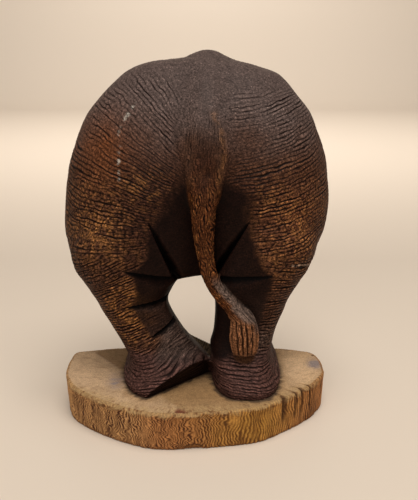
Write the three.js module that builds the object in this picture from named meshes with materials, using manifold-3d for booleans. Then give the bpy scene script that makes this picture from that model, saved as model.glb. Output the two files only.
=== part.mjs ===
// Hindquarters of an elephant, carved in dark-stained wood, on a half-round slab of log.
// Millimetres, +Z up. The flat sawn back faces +Y and the carved side faces -Y.
// The origin is under the middle of the whole object, on the surface that it stands on.
import * as THREE from "three";
import { mergeVertices } from "three/addons/utils/BufferGeometryUtils.js";
import Module from "manifold-3d";

const wasm = await Module();
wasm.setup();

// Slab of log
const SLAB_WIDTH = 170;
const SLAB_DEPTH = 84.6;
const SLAB_THICKNESS = 25;
const SLAB_EDGE = 0.8; // worn edge, across and down
const CHECK_DEPTH = 2.4; // drying checks in the slab's side
const CHECK_WIDTH = 4;
const CHECK_FOOT = 6; // height at which the checks end
const CHIP_WIDTH = 13; // chip out of the slab's lower front edge
const CHIP_HEIGHT = 3.2;
const CHIP_DEPTH = 2.2;

// Figure, from its soles up and from its flat back forward
const FIGURE_WIDTH = 170;
const FIGURE_DEPTH = 70.5;
const FIGURE_HEIGHT = 200;
const CELL = 5.4; // facet size of the carved surface
const SAW_WASTE = 7; // wood carved past the flat back and the soles, then sawn off

// Outline and forward reach of the rump, as [height, distance] pairs
const RUMP_LEFT = [
  [35, -16], [47, -34], [59, -50], [72, -70], [82, -81.8], [89, -84], [105, -83], [128, -79.6],
  [143, -75], [161, -67], [173, -57.3], [184.8, -45], [189.5, -37.5], [192.2, -30.2], [193.5, -24.5],
  [194.4, -16], [195.6, -6], [197, -2.8], [199.2, 3], [200, 7],
];
const RUMP_RIGHT = [
  [35, 20], [47, 38], [59, 50], [72, 69], [82, 79.5], [90, 84], [105, 86], [119, 85.4],
  [138, 82.3], [153, 76.6], [164, 71.7], [173, 64.2], [182.5, 56], [187, 49.8], [191.5, 36],
  [194, 26], [196.8, 19], [199.2, 14], [200, 10],
];
const RUMP_REACH = [
  [35, 40], [59, 48], [72, 54], [87, 58], [105, 60], [125, 59], [143, 54], [161, 45], [173, 37],
  [185, 26.5], [192, 18], [196, 10.5], [199.2, 4.5], [200.3, 1.5],
];
const ROUND_ACROSS = 2.5; // roundness of the rump's level sections
const ROUND_FORWARD = 2.3;
const ROUND_MEAN = (ROUND_ACROSS + ROUND_FORWARD) / 2;
const CROTCH_HEIGHT = 67.5;
const CROTCH_BLEND = 8;

// Hollow beside the tail and the ridge of the spine above it
const SPINE_X = 7;
const HOLLOW_DEPTH = [[35, 6], [60, 9], [80, 10], [105, 9], [120, 7], [135, 4], [150, 0], [200, 0]];
const HOLLOW_WIDTH = [[35, 14], [70, 15], [85, 18], [105, 22], [125, 15], [145, 10], [200, 10]];
const RIDGE_HEIGHT = [[35, 0], [118, 0], [138, 3], [155, 3.6], [175, 3.5], [190, 3], [200, 0]];
const RIDGE_WIDTH = 8.5;

// Legs: outer side, inner side and front, as [height, distance] pairs
const LEFT_LEG = {
  outer: [
    [0, -45.6], [3.5, -46], [8, -43.4], [13, -43.2], [18, -46.6], [26, -51.8], [33.5, -56.2],
    [41, -60], [49, -63.6], [56.5, -67.2], [64, -71.6], [72, -76], [87, -76], [105, -62], [122, -52],
  ],
  inner: [
    [0, 15], [9, 13], [18, 6.5], [23.5, 1.8], [31, -4.2], [40.5, -9.9], [49.6, -14.2], [55.2, -14.8],
    [61.5, -12], [66, -9.6], [72, -9], [80, -11], [92, -15], [105, -22], [130, -30],
  ],
  front: [
    [0, 69.5], [4, 69], [9, 64.5], [15, 57], [21, 51.5], [29, 48.5], [39, 48], [51, 50], [65, 54],
    [83, 57], [100, 55], [122, 44],
  ],
};
const RIGHT_LEG = {
  outer: [
    [0, 55], [3.5, 55.4], [8, 51.8], [13, 50], [18, 50.8], [26, 52.8], [33.5, 55.4], [41, 58.4],
    [49, 61], [56.5, 64.4], [64, 68.4], [72, 73], [87, 76], [105, 66], [122, 56],
  ],
  inner: [
    [0, 10.5], [9, 11], [17, 9.4], [25, 8.8], [31, 10.2], [37, 11], [50, 11.6], [62, 10.4],
    [68, 8.4], [74, 8], [83, 14], [100, 24], [130, 34],
  ],
  front: [
    [0, 70.5], [4, 70], [9, 66], [15, 58.5], [21, 52.5], [29, 48.5], [39, 47.5], [51, 50], [65, 54],
    [83, 57], [100, 55], [122, 44],
  ],
};
// How wide, deep and high these profiles are drawn; the figure is stretched from this to its sizes
const drawnRight = Math.max(...RUMP_RIGHT.map((pair) => pair[1]));
const drawnLeft = Math.min(...RUMP_LEFT.map((pair) => pair[1]));
const drawnWidth = drawnRight - drawnLeft;
const drawnDepth = Math.max(...RIGHT_LEG.front.map((pair) => pair[1]));
const drawnHeight = Math.max(...RUMP_LEFT.map((pair) => pair[0]));

const LEG_BACK = -20; // the leg sections run on behind the flat back
const LEG_TOP = 122;
const LEG_TOP_BLEND = 10;
const LEG_ROUND = [[0, 2.7], [6, 2.7], [16, 2.5], [60, 2.5]];
const INNER_EDGE = [[0, 0], [10, 0.3], [20, 1.5], [70, 1.5], [90, 0], [130, 0]]; // crisper inner edge
const CREST_REACH = 42; // where the inner edge stands forward of the flat back
const GAP_FALL = 0.33; // fall of the gap between the legs from that edge to the back
const GAP_SPLAY = 0.12; // how much each side of the gap draws back on the way
const LEG_BLEND = 5;

// The sole of the left foot is cut back under its inner edge, by a plane through three points
const SOLE_CUT = [[-27, 67, 0.5], [8, 47, 16], [6.8, 37.3, 0]];
const SOLE_BLEND = 0.6;

// Web of wood left between the feet, against the flat back
const WEB_HEIGHT = 10.9;
const WEB_LEFT = -14;
const WEB_RIGHT = 22;
const WEB_REACH = 22;
const WEB_FALL_RIGHT = 0.522;
const WEB_FALL_FRONT = 0.125;
const WEB_PEAK_X = -5.5;
const WEB_BLEND = 2;

// Tail and tuft: [x, reach, height, half width, half thickness] down their length
const TAIL = [
  [7.4, 33, 172, 7, 3], [7.2, 42, 160, 9, 4], [7, 49, 148, 10.5, 5], [6.8, 53.6, 136, 10.2, 6],
  [6.6, 56.4, 125, 8.2, 6.4], [6.2, 57.5, 113, 7.2, 6.2], [6.1, 57, 101, 6.4, 5.8],
  [7.3, 55.5, 87, 5.2, 5.2], [9.4, 54, 75, 4.8, 4.8], [13, 53, 66, 4.5, 4.5],
  [17.8, 52.6, 59, 4.6, 4.6], [22.6, 52.5, 53.5, 4.7, 4.7], [26.2, 52.8, 49.5, 5.2, 4.6],
];
const TUFT = [
  [21.5, 52.5, 54.5, 3.6, 3.6], [25.6, 52.9, 50, 5.3, 5], [29.2, 53.6, 45.5, 7.3, 6],
  [30.3, 54.2, 40, 8.5, 6.7], [30.6, 54.4, 34, 9, 6.9], [31, 54.2, 28, 8.4, 6.4],
  [31.2, 53.9, 24.5, 7.2, 5.4], [31.2, 53.6, 22.4, 5.6, 4.4],
];
const TAIL_SIDES = 12;
const TUFT_LOCKS = 13; // locks of hair round the tuft
const LOCK_GROOVE = 0.88; // radius in the groove between two locks

// Knife cuts: from and to [x, height], depth and slope at start, middle and end, and the
// side that the sloped wall lies on, seen along the cut
const CUTS = [
  { from: [-40.5, 76.6], to: [-8.5, 70.6], depth: [0.5, 4.5, 7], slope: [2, 13, 17], side: -1 },
  { from: [-40.5, 51.3], to: [-11, 57.6], depth: [0.6, 5, 6], slope: [2.5, 8, 8], side: -1 },
  { from: [-26, 30.6], to: [-13, 40.8], depth: [0.5, 3.5, 2.5], slope: [1.5, 6, 5], side: -1 },
  { from: [-25.5, 107], to: [-9, 65], depth: [0.4, 4.5, 9], slope: [1.5, 6, 9], side: 1 },
  { from: [32.5, 106.5], to: [13, 71], depth: [0.4, 4.5, 9], slope: [1.5, 6, 9], side: -1 },
  { from: [46.8, 73.6], to: [15.5, 72], depth: [0.3, 3.5, 4.5], slope: [1.5, 12, 14], side: 1 },
];
const CUT_STATIONS = 5;
const CUT_PROUD = 7; // how far the cutting wedge stands out of the surface
const CUT_SPREAD = 12; // most that the sloped wall runs on outside the surface
const CUT_FALL = 9; // most that a cut follows the surface back from where it starts
const CUT_UNDER = 0.15; // share of the depth by which the steep wall undercuts

// Outline of the slab as shares of its width and depth, round from the left end of the flat back
const SLAB_OUTLINE = [
  [-0.43, 0.055], [-0.3, 0.006], [0, 0], [0.3, 0.006], [0.41, 0.045], [0.475, 0.1], [0.495, 0.2], [0.5, 0.33],
  [0.496, 0.42], [0.452, 0.575], [0.396, 0.685], [0.327, 0.79], [0.235, 0.91], [0.09, 0.97], [0, 0.99],
  [-0.08, 1], [-0.17, 0.98], [-0.255, 0.91], [-0.35, 0.8], [-0.425, 0.685], [-0.458, 0.615], [-0.49, 0.47],
  [-0.5, 0.35], [-0.5, 0.18], [-0.488, 0.09],
];
const SLAB_STEPS = 3; // points from one outline point to the next
const CHECK_PLACES = [0.38, 0.412, 0.44]; // shares of the way round the slab's outline
const CHIP_PLACE = 0.56;

// Smooth curve through [height, value] pairs
function profile(pairs) {
  const last = pairs.length - 1;
  const slopes = pairs.map((pair, i) => {
    const before = pairs[Math.max(i - 1, 0)];
    const after = pairs[Math.min(i + 1, last)];
    return (after[1] - before[1]) / (after[0] - before[0]);
  });
  return (height) => {
    const t = Math.min(Math.max(height, pairs[0][0]), pairs[last][0]);
    let i = 0;
    while (i < last - 1 && t > pairs[i + 1][0]) i += 1;
    const [t0, v0] = pairs[i];
    const [t1, v1] = pairs[i + 1];
    const step = t1 - t0;
    const u = (t - t0) / step;
    const rise = u * u * (3 - 2 * u);
    const leave = u * (1 - u) * (1 - u) * slopes[i];
    const arrive = u * u * (u - 1) * slopes[i + 1];
    return v0 + (v1 - v0) * rise + (leave + arrive) * step;
  };
}

// Joins two solids' distances with a soft fillet; blendedMax keeps what both share
function blendedMin(a, b, blend) {
  const h = Math.min(Math.max(0.5 + (0.5 * (b - a)) / blend, 0), 1);
  return b * (1 - h) + a * h - blend * h * (1 - h);
}
function blendedMax(a, b, blend) {
  return -blendedMin(-a, -b, blend);
}

const rumpLeft = profile(RUMP_LEFT);
const rumpRight = profile(RUMP_RIGHT);
const rumpReach = profile(RUMP_REACH);
const hollowDepth = profile(HOLLOW_DEPTH);
const hollowWidth = profile(HOLLOW_WIDTH);
const ridgeHeight = profile(RIDGE_HEIGHT);
const legRound = profile(LEG_ROUND);
const innerEdge = profile(INNER_EDGE);

// Distance to the rump, below 0 inside. d is measured forward from the flat back.
function rump(x, d, z) {
  const left = rumpLeft(z);
  const right = rumpRight(z);
  const half = (right - left) / 2;
  const aside = x - SPINE_X;
  const hollow = hollowDepth(z) * Math.exp(-((aside / hollowWidth(z)) ** 2));
  const ridge = ridgeHeight(z) * Math.exp(-((aside / RIDGE_WIDTH) ** 2));
  const reach = rumpReach(z);
  const across = Math.abs(x - (left + right) / 2) / half;
  const forward = Math.max(d, 0) / (reach - hollow + ridge);
  const radius = (across ** ROUND_ACROSS + forward ** ROUND_FORWARD) ** (1 / ROUND_MEAN);
  return blendedMax((radius - 1) * Math.min(half, reach), CROTCH_HEIGHT - z, CROTCH_BLEND);
}

// Distance to a leg; inward is +1 where the other leg lies to its right
function leg(drawn, inward) {
  const outer = profile(drawn.outer);
  const inner = profile(drawn.inner);
  const front = profile(drawn.front);
  return (x, d, z) => {
    const behind = Math.min(Math.max(CREST_REACH - d, 0), CREST_REACH);
    const sides = [outer(z), inner(z + GAP_FALL * behind) - inward * GAP_SPLAY * behind];
    const middle = (sides[0] + sides[1]) / 2;
    const halfWidth = Math.abs(sides[0] - sides[1]) / 2;
    const halfDepth = (front(z) - LEG_BACK) / 2;
    const aside = x - middle;
    const power = legRound(z) + (aside * inward > 0 ? innerEdge(z) : 0);
    const across = Math.abs(aside) / halfWidth;
    const forward = Math.abs(d - LEG_BACK - halfDepth) / halfDepth;
    const radius = (across ** power + forward ** power) ** (1 / power);
    return blendedMax((radius - 1) * Math.min(halfWidth, halfDepth), z - LEG_TOP, LEG_TOP_BLEND);
  };
}
const leftLeg = leg(LEFT_LEG, 1);
const rightLeg = leg(RIGHT_LEG, -1);

const solePlane = new THREE.Plane().setFromCoplanarPoints(
  new THREE.Vector3(...SOLE_CUT[0]),
  new THREE.Vector3(...SOLE_CUT[1]),
  new THREE.Vector3(...SOLE_CUT[2]),
);

// Distance to the web between the feet
function web(x, d, z) {
  const top = WEB_HEIGHT - WEB_FALL_RIGHT * (x - WEB_PEAK_X) - WEB_FALL_FRONT * d;
  return Math.max(z - top, d - WEB_REACH, WEB_LEFT - x, x - WEB_RIGHT);
}

function carvedBody(x, d, z) {
  const underSole = solePlane.distanceToPoint(new THREE.Vector3(x, d, z));
  const leftFoot = blendedMax(leftLeg(x, d, z), underSole, SOLE_BLEND);
  const legs = blendedMin(blendedMin(rump(x, d, z), leftFoot, LEG_BLEND), rightLeg(x, d, z), LEG_BLEND);
  return blendedMin(legs, web(x, d, z), WEB_BLEND);
}

// Front of the carved body at a place in the front view
function frontOf(x, z) {
  const step = 0.25;
  let d = drawnDepth + CUT_PROUD;
  while (d > 0 && carvedBody(x, d, z) > 0) d -= step;
  return d;
}

// Where only two opposite corners of a cell's side are inside, takes in a third, so that
// the surface never touches itself along an edge
function joinDiagonals(values, count, stride) {
  const inside = (name) => values[name] < 0;
  let changed = true;
  while (changed) {
    changed = false;
    for (let name = 0; name < values.length; name += 1) {
      const place = [name % count[0], Math.floor(name / stride[1]) % count[1], Math.floor(name / stride[2])];
      for (let axis = 0; axis < 3; axis += 1) {
        const next = (axis + 1) % 3;
        if (place[axis] === count[axis] - 1 || place[next] === count[next] - 1) continue;
        const a = name + stride[axis];
        const b = name + stride[next];
        const across = a + stride[next];
        if (inside(name) !== inside(across) || inside(a) !== inside(b) || inside(name) === inside(a)) continue;
        const outer = inside(name) ? [a, b] : [name, across];
        const nearer = values[outer[0]] < values[outer[1]] ? outer[0] : outer[1];
        values[nearer] = -Number.EPSILON;
        changed = true;
      }
    }
  }
}

// Faceted surface where the distance is 0: one point in each cell that it crosses
function polygonise(distance, low, high, cell) {
  const count = low.map((value, axis) => Math.ceil((high[axis] - value) / cell) + 1);
  const stride = [1, count[0], count[0] * count[1]];
  const corner = (place) => place[0] + place[1] * stride[1] + place[2] * stride[2];
  const values = new Float64Array(count[0] * count[1] * count[2]);
  for (let k = 0; k < count[2]; k += 1) {
    for (let j = 0; j < count[1]; j += 1) {
      for (let i = 0; i < count[0]; i += 1) {
        const point = [low[0] + i * cell, low[1] + j * cell, low[2] + k * cell];
        values[corner([i, j, k])] = distance(...point);
      }
    }
  }
  joinDiagonals(values, count, stride);
  const sums = new Map();
  const edges = [];
  for (let k = 1; k < count[2] - 1; k += 1) {
    for (let j = 1; j < count[1] - 1; j += 1) {
      for (let i = 1; i < count[0] - 1; i += 1) {
        const here = corner([i, j, k]);
        for (let axis = 0; axis < 3; axis += 1) {
          const there = here + stride[axis];
          if (values[here] < 0 === values[there] < 0) continue;
          const crossing = [i, j, k];
          crossing[axis] += values[here] / (values[here] - values[there]);
          const u = stride[(axis + 1) % 3];
          const v = stride[(axis + 2) % 3];
          const cells = [here - u - v, here - v, here, here - u];
          for (const name of cells) {
            const sum = sums.get(name) ?? [0, 0, 0, 0];
            sums.set(name, [sum[0] + crossing[0], sum[1] + crossing[1], sum[2] + crossing[2], sum[3] + 1]);
          }
          edges.push(values[here] < 0 ? cells : cells.reverse());
        }
      }
    }
  }
  const numbers = new Map([...sums.keys()].map((name, number) => [name, number]));
  const points = [...sums.values()].map((sum) => onSurface(
    distance,
    new THREE.Vector3(
      low[0] + (sum[0] / sum[3]) * cell,
      low[1] + (sum[1] / sum[3]) * cell,
      low[2] + (sum[2] / sum[3]) * cell,
    ),
    cell,
  ));
  const faces = [];
  for (const cells of edges) {
    const [a, b, c, e] = cells.map((name) => numbers.get(name));
    if (points[a].distanceTo(points[c]) < points[b].distanceTo(points[e])) faces.push([a, b, c], [a, c, e]);
    else faces.push([a, b, e], [b, c, e]);
  }
  return { points, faces };
}

// Moves a point straight onto the surface, at most half a cell
function onSurface(distance, point, cell) {
  const { x, y, z } = point;
  const tiny = 0.25 * cell;
  const value = distance(x, y, z);
  const slope = new THREE.Vector3(
    distance(x + tiny, y, z) - value,
    distance(x, y + tiny, z) - value,
    distance(x, y, z + tiny) - value,
  ).divideScalar(tiny);
  const steepest = Math.max(slope.lengthSq(), 0.05);
  const move = THREE.MathUtils.clamp(-value / steepest, -cell / 2, cell / 2);
  return point.addScaledVector(slope, move);
}

// Closed skin over rings of points, with flat ends
function loft(rings) {
  const points = rings.flat();
  const sides = rings[0].length;
  const faces = [];
  for (let ring = 0; ring < rings.length - 1; ring += 1) {
    for (let side = 0; side < sides; side += 1) {
      const a = ring * sides + side;
      const b = ring * sides + ((side + 1) % sides);
      faces.push([a, b, b + sides], [a, b + sides, a + sides]);
    }
  }
  const end = (rings.length - 1) * sides;
  for (let side = 1; side < sides - 1; side += 1) {
    faces.push([0, side + 1, side], [end, end + side, end + side + 1]);
  }
  return { points, faces };
}

// Closed solid from points and faces; a skin that came out inside out is turned round
function solidOf({ points, faces }) {
  const volume = faces.reduce((sum, [a, b, c]) => {
    const across = points[b].clone().cross(points[c]);
    return sum + points[a].dot(across);
  }, 0);
  const outward = volume > 0 ? faces : faces.map(([a, b, c]) => [a, c, b]);
  return new wasm.Manifold(new wasm.Mesh({
    numProp: 3,
    vertProperties: new Float32Array(points.flatMap((point) => point.toArray())),
    triVerts: new Uint32Array(outward.flat()),
  }));
}

function solidOfGeometry(geometry) {
  const bare = geometry.index ? geometry.toNonIndexed() : geometry.clone();
  bare.deleteAttribute("normal");
  bare.deleteAttribute("uv");
  const merged = mergeVertices(bare, 1e-4);
  return new wasm.Manifold(new wasm.Mesh({
    numProp: 3,
    vertProperties: merged.attributes.position.array,
    triVerts: new Uint32Array(merged.index.array),
  }));
}

function geometryOf(solid) {
  const mesh = solid.getMesh();
  const geometry = new THREE.BufferGeometry();
  geometry.setAttribute("position", new THREE.BufferAttribute(mesh.vertProperties, 3));
  geometry.setIndex(new THREE.BufferAttribute(mesh.triVerts, 1));
  geometry.computeVertexNormals();
  return geometry;
}

// Point of the figure's own frame from its drawn x, reach and height
function drawnPoint(x, d, z) {
  return new THREE.Vector3(x, -d, z);
}

// Rope of oval rings along drawn stations; shape gives each side's share of the radius
function rope(stations, sides, ringsEach, shape) {
  const tracks = [0, 1, 2, 3, 4].map((column) => profile(stations.map((row, i) => [i, row[column]])));
  const at = (t) => drawnPoint(tracks[0](t), tracks[1](t), tracks[2](t));
  const last = stations.length - 1;
  const rings = [];
  for (let step = 0; step <= last * ringsEach; step += 1) {
    const t = step / ringsEach;
    const along = at(Math.min(t + 0.1, last)).sub(at(Math.max(t - 0.1, 0))).normalize();
    const widthways = along.clone().cross(new THREE.Vector3(0, -1, 0)).normalize();
    const outwards = widthways.clone().cross(along);
    const ring = [];
    for (let side = 0; side < sides; side += 1) {
      const angle = (2 * Math.PI * side) / sides;
      const share = shape(side);
      ring.push(at(t)
        .addScaledVector(widthways, Math.cos(angle) * tracks[3](t) * share)
        .addScaledVector(outwards, Math.sin(angle) * tracks[4](t) * share));
    }
    rings.push(ring);
  }
  return solidOf(loft(rings));
}

// Value along a cut from its start, middle and end values
function alongCut(values, t) {
  return profile([[0, values[0]], [0.5, values[1]], [1, values[2]]])(t);
}

// Wedge that follows the surface along a knife cut: one steep wall and one sloped wall
function cutWedge({ from, to, depth, slope, side }) {
  const length = Math.hypot(to[0] - from[0], to[1] - from[1]);
  const aside = [(-side * (to[1] - from[1])) / length, (side * (to[0] - from[0])) / length];
  const furthestBack = frontOf(...from) - CUT_FALL;
  const rings = [];
  for (let station = 0; station < CUT_STATIONS; station += 1) {
    const t = station / (CUT_STATIONS - 1);
    const x = THREE.MathUtils.lerp(from[0], to[0], t);
    const z = THREE.MathUtils.lerp(from[1], to[1], t);
    const d = Math.max(frontOf(x, z), furthestBack);
    const deep = alongCut(depth, t);
    const run = alongCut(slope, t);
    const under = deep * CUT_UNDER;
    const spread = Math.min(run * (1 + CUT_PROUD / deep), run + CUT_SPREAD);
    rings.push([
      drawnPoint(x, d + CUT_PROUD, z),
      drawnPoint(x - aside[0] * under, d - deep, z - aside[1] * under),
      drawnPoint(x + aside[0] * spread, d + CUT_PROUD, z + aside[1] * spread),
    ]);
  }
  return solidOf(loft(rings));
}

// The figure in its own frame: soles at z = 0, flat back at y = 0, front towards -Y
function makeFigure() {
  const margin = 2 * CELL;
  const above = drawnHeight + 1; // sawn off too, so that the top comes out whole
  const carve = (x, y, z) => Math.max(carvedBody(x, -y, z), y - SAW_WASTE, -SAW_WASTE - z, z - above);
  const low = [-drawnWidth / 2 - margin, -drawnDepth - margin, -SAW_WASTE - margin];
  const high = [drawnWidth / 2 + margin, SAW_WASTE + margin, drawnHeight + margin];
  let figure = solidOf(polygonise(carve, low, high, CELL));
  for (const cut of CUTS) figure = figure.subtract(cutWedge(cut));
  const plain = () => 1;
  const locks = (side) => (side % 2 ? LOCK_GROOVE : 1);
  figure = figure.add(rope(TAIL, TAIL_SIDES, 2, plain));
  figure = figure.add(rope(TUFT, 2 * TUFT_LOCKS, 2, locks));
  const block = new THREE.BoxGeometry(2 * drawnWidth, 2 * drawnDepth, drawnHeight);
  block.translate(0, -drawnDepth, drawnHeight / 2);
  figure = figure.intersect(solidOfGeometry(block));
  const geometry = geometryOf(figure);
  geometry.scale(FIGURE_WIDTH / drawnWidth, FIGURE_DEPTH / drawnDepth, FIGURE_HEIGHT / drawnHeight);
  return geometry;
}

// Outline of the slab, exactly as wide and deep as its sizes, with its middle at the origin
function slabOutline() {
  const corners = SLAB_OUTLINE.map(([x, d]) => new THREE.Vector3(x * SLAB_WIDTH, -d * SLAB_DEPTH, 0));
  const curve = new THREE.CatmullRomCurve3(corners, true, "centripetal");
  const points = curve.getPoints(SLAB_OUTLINE.length * SLAB_STEPS).slice(0, -1);
  const box = new THREE.Box3().setFromPoints(points);
  const size = box.getSize(new THREE.Vector3());
  const middle = box.getCenter(new THREE.Vector3());
  return points.map((point) => new THREE.Vector2(
    ((point.x - middle.x) * SLAB_WIDTH) / size.x,
    ((point.y - middle.y) * SLAB_DEPTH) / size.y,
  ));
}

// Place on the outline and the way out of the slab there
function onOutline(outline, share) {
  const index = Math.round(share * outline.length) % outline.length;
  const point = outline[index];
  const before = outline[(index + outline.length - 1) % outline.length];
  const after = outline[(index + 1) % outline.length];
  const along = after.clone().sub(before).normalize();
  const outward = new THREE.Vector2(along.y, -along.x);
  if (outward.dot(point) < 0) outward.negate();
  return { point, along, outward };
}

// Upright or level groove with a V section, from low to high
function slabGroove({ point, along, outward }, half, depth, low, high) {
  const corner = (aside, out, z) => new THREE.Vector3(
    point.x + along.x * aside + outward.x * out,
    point.y + along.y * aside + outward.y * out,
    z,
  );
  const ring = (z) => [corner(-2 * half, depth, z), corner(0, -depth, z), corner(2 * half, depth, z)];
  return solidOf(loft([ring(low), ring(high)]));
}

// Chip with a sloped bed out of the lower edge
function slabChip({ point, along, outward }) {
  const corner = (aside, out, z) => new THREE.Vector3(
    point.x + along.x * aside + outward.x * out,
    point.y + along.y * aside + outward.y * out,
    z,
  );
  const ring = (aside) => [
    corner(aside, CHIP_DEPTH, 2 * CHIP_HEIGHT),
    corner(aside, -CHIP_DEPTH, -CHIP_HEIGHT / 4),
    corner(aside, CHIP_DEPTH, -CHIP_HEIGHT),
  ];
  return solidOf(loft([ring(-CHIP_WIDTH / 2), ring(CHIP_WIDTH / 2)]));
}

function makeSlab() {
  const outline = slabOutline();
  const geometry = new THREE.ExtrudeGeometry(new THREE.Shape(outline), {
    depth: SLAB_THICKNESS - 2 * SLAB_EDGE,
    bevelThickness: SLAB_EDGE,
    bevelSize: SLAB_EDGE,
    bevelOffset: -SLAB_EDGE,
    bevelSegments: 1,
  });
  geometry.translate(0, 0, SLAB_EDGE);
  let slab = solidOfGeometry(geometry);
  for (const share of CHECK_PLACES) {
    const place = onOutline(outline, share);
    slab = slab.subtract(slabGroove(place, CHECK_WIDTH / 2, CHECK_DEPTH, CHECK_FOOT, SLAB_THICKNESS + 1));
  }
  slab = slab.subtract(slabChip(onOutline(outline, CHIP_PLACE)));
  return geometryOf(slab);
}

const stainedWood = new THREE.MeshStandardMaterial({ color: "#35261f", roughness: 0.72, metalness: 0 });
const bareWood = new THREE.MeshStandardMaterial({ color: "#a88860", roughness: 0.85, metalness: 0 });

const slab = new THREE.Mesh(makeSlab(), bareWood);
slab.name = "log_slab";

const elephant = new THREE.Mesh(makeFigure(), stainedWood);
elephant.name = "elephant_hindquarters";
elephant.position.set(0, SLAB_DEPTH / 2, SLAB_THICKNESS);

const carving = new THREE.Group();
carving.add(slab, elephant);

// The origin is under the middle of the whole object
const whole = new THREE.Box3().setFromObject(carving, true);
const middle = whole.getCenter(new THREE.Vector3());
carving.position.set(-middle.x, -middle.y, 0);
carving.updateMatrixWorld(true);

export default carving;
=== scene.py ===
"""Looks of an elephant's hindquarters carved in dark-stained wood, on a half-round slab of log."""
from math import pi, radians
from types import SimpleNamespace

import bpy
import numpy as np
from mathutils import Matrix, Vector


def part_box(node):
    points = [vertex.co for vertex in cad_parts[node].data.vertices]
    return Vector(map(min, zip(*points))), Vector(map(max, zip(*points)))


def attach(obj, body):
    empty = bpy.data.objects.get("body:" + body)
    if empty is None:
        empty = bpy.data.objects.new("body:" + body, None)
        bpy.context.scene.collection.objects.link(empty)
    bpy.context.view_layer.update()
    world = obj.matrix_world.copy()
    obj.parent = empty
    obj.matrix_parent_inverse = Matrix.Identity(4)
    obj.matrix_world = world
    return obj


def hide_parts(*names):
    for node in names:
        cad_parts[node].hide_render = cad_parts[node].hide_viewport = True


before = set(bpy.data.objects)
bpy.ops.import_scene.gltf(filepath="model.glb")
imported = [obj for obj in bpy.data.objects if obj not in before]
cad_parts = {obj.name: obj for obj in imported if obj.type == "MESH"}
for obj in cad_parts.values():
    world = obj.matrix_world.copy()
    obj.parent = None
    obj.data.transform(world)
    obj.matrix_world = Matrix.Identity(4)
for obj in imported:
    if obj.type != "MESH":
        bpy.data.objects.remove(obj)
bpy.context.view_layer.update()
_, figure_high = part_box("elephant_hindquarters")
slab_low, slab_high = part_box("log_slab")

MM = 0.001

# Camera at the photograph's viewing angle
CAMERA_PLACE = (0.0088, -0.3425, 0.219)
CAMERA_DOWN = 17.57
CAMERA_LENS = 43.2
SENSOR_WIDTH = 36
camera_data = bpy.data.cameras.new("camera")
camera_data.lens = CAMERA_LENS
camera_data.sensor_width = SENSOR_WIDTH
camera = bpy.data.objects.new("camera", camera_data)
camera.location = CAMERA_PLACE
camera.rotation_euler = (radians(90 - CAMERA_DOWN), 0, 0)
bpy.context.collection.objects.link(camera)
bpy.context.scene.camera = camera
bpy.context.scene.view_settings.view_transform = "Standard"

# The figure's own frame, in mm: x to the right, d forward of the flat back, z above the soles
FIGURE_X = (slab_low[0] + slab_high[0]) / 2 / MM
FIGURE_BACK = figure_high[1] / MM
FIGURE_SOLES = slab_high[2] / MM

# Cells of the field that the figure's skin is read from, and where that field begins and ends
CELL = 0.72
TOP = 200
FIELD_LOW = (-85, 0, 0)
FIELD_HIGH = (88, 72, TOP)
FIELD_MARGIN = 2.3 * CELL
SKIN_TRIANGLES = 194000
SMOOTH_ANGLE = 60

# Outline and forward reach of the rump, as (height, distance)
RUMP_LEFT = [
    (35, -16), (47, -34), (59, -50), (72, -70), (82, -81.8), (89, -84), (105, -83), (128, -79.6),
    (143, -75), (161, -67), (173, -57.3), (184.8, -45), (189.5, -37.5), (192.2, -30.2), (193.5, -24.5),
    (194.4, -16), (195.6, -6), (197, -2.8), (199.2, 3), (200, 7),
]
RUMP_RIGHT = [
    (35, 20), (47, 38), (59, 50), (72, 69), (82, 79.5), (90, 84), (105, 86), (119, 85.4),
    (138, 82.3), (153, 76.6), (164, 71.7), (173, 64.2), (182.5, 56), (187, 49.8), (191.5, 36),
    (194, 26), (196.8, 19), (199.2, 14), (200, 10),
]
RUMP_REACH = [
    (35, 40), (59, 48), (72, 54), (87, 58), (105, 60), (125, 59), (143, 54), (161, 45), (173, 37),
    (185, 26.5), (192, 18), (196, 10.5), (199.2, 4.5), (200.3, 1.5),
]
ROUND_ACROSS = 2.5
ROUND_FORWARD = 2.3
CROTCH_HEIGHT = 67.5
CROTCH_BLEND = 8
SPINE_X = 7
HOLLOW_DEPTH = [(35, 6), (60, 9), (80, 10), (105, 9), (120, 7), (135, 4), (150, 0), (200, 0)]
HOLLOW_WIDTH = [(35, 14), (70, 15), (85, 18), (105, 22), (125, 15), (145, 10), (200, 10)]
RIDGE_HEIGHT = [(35, 0), (118, 0), (138, 3), (155, 3.6), (175, 3.5), (190, 3), (200, 0)]
RIDGE_WIDTH = 8.5

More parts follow.
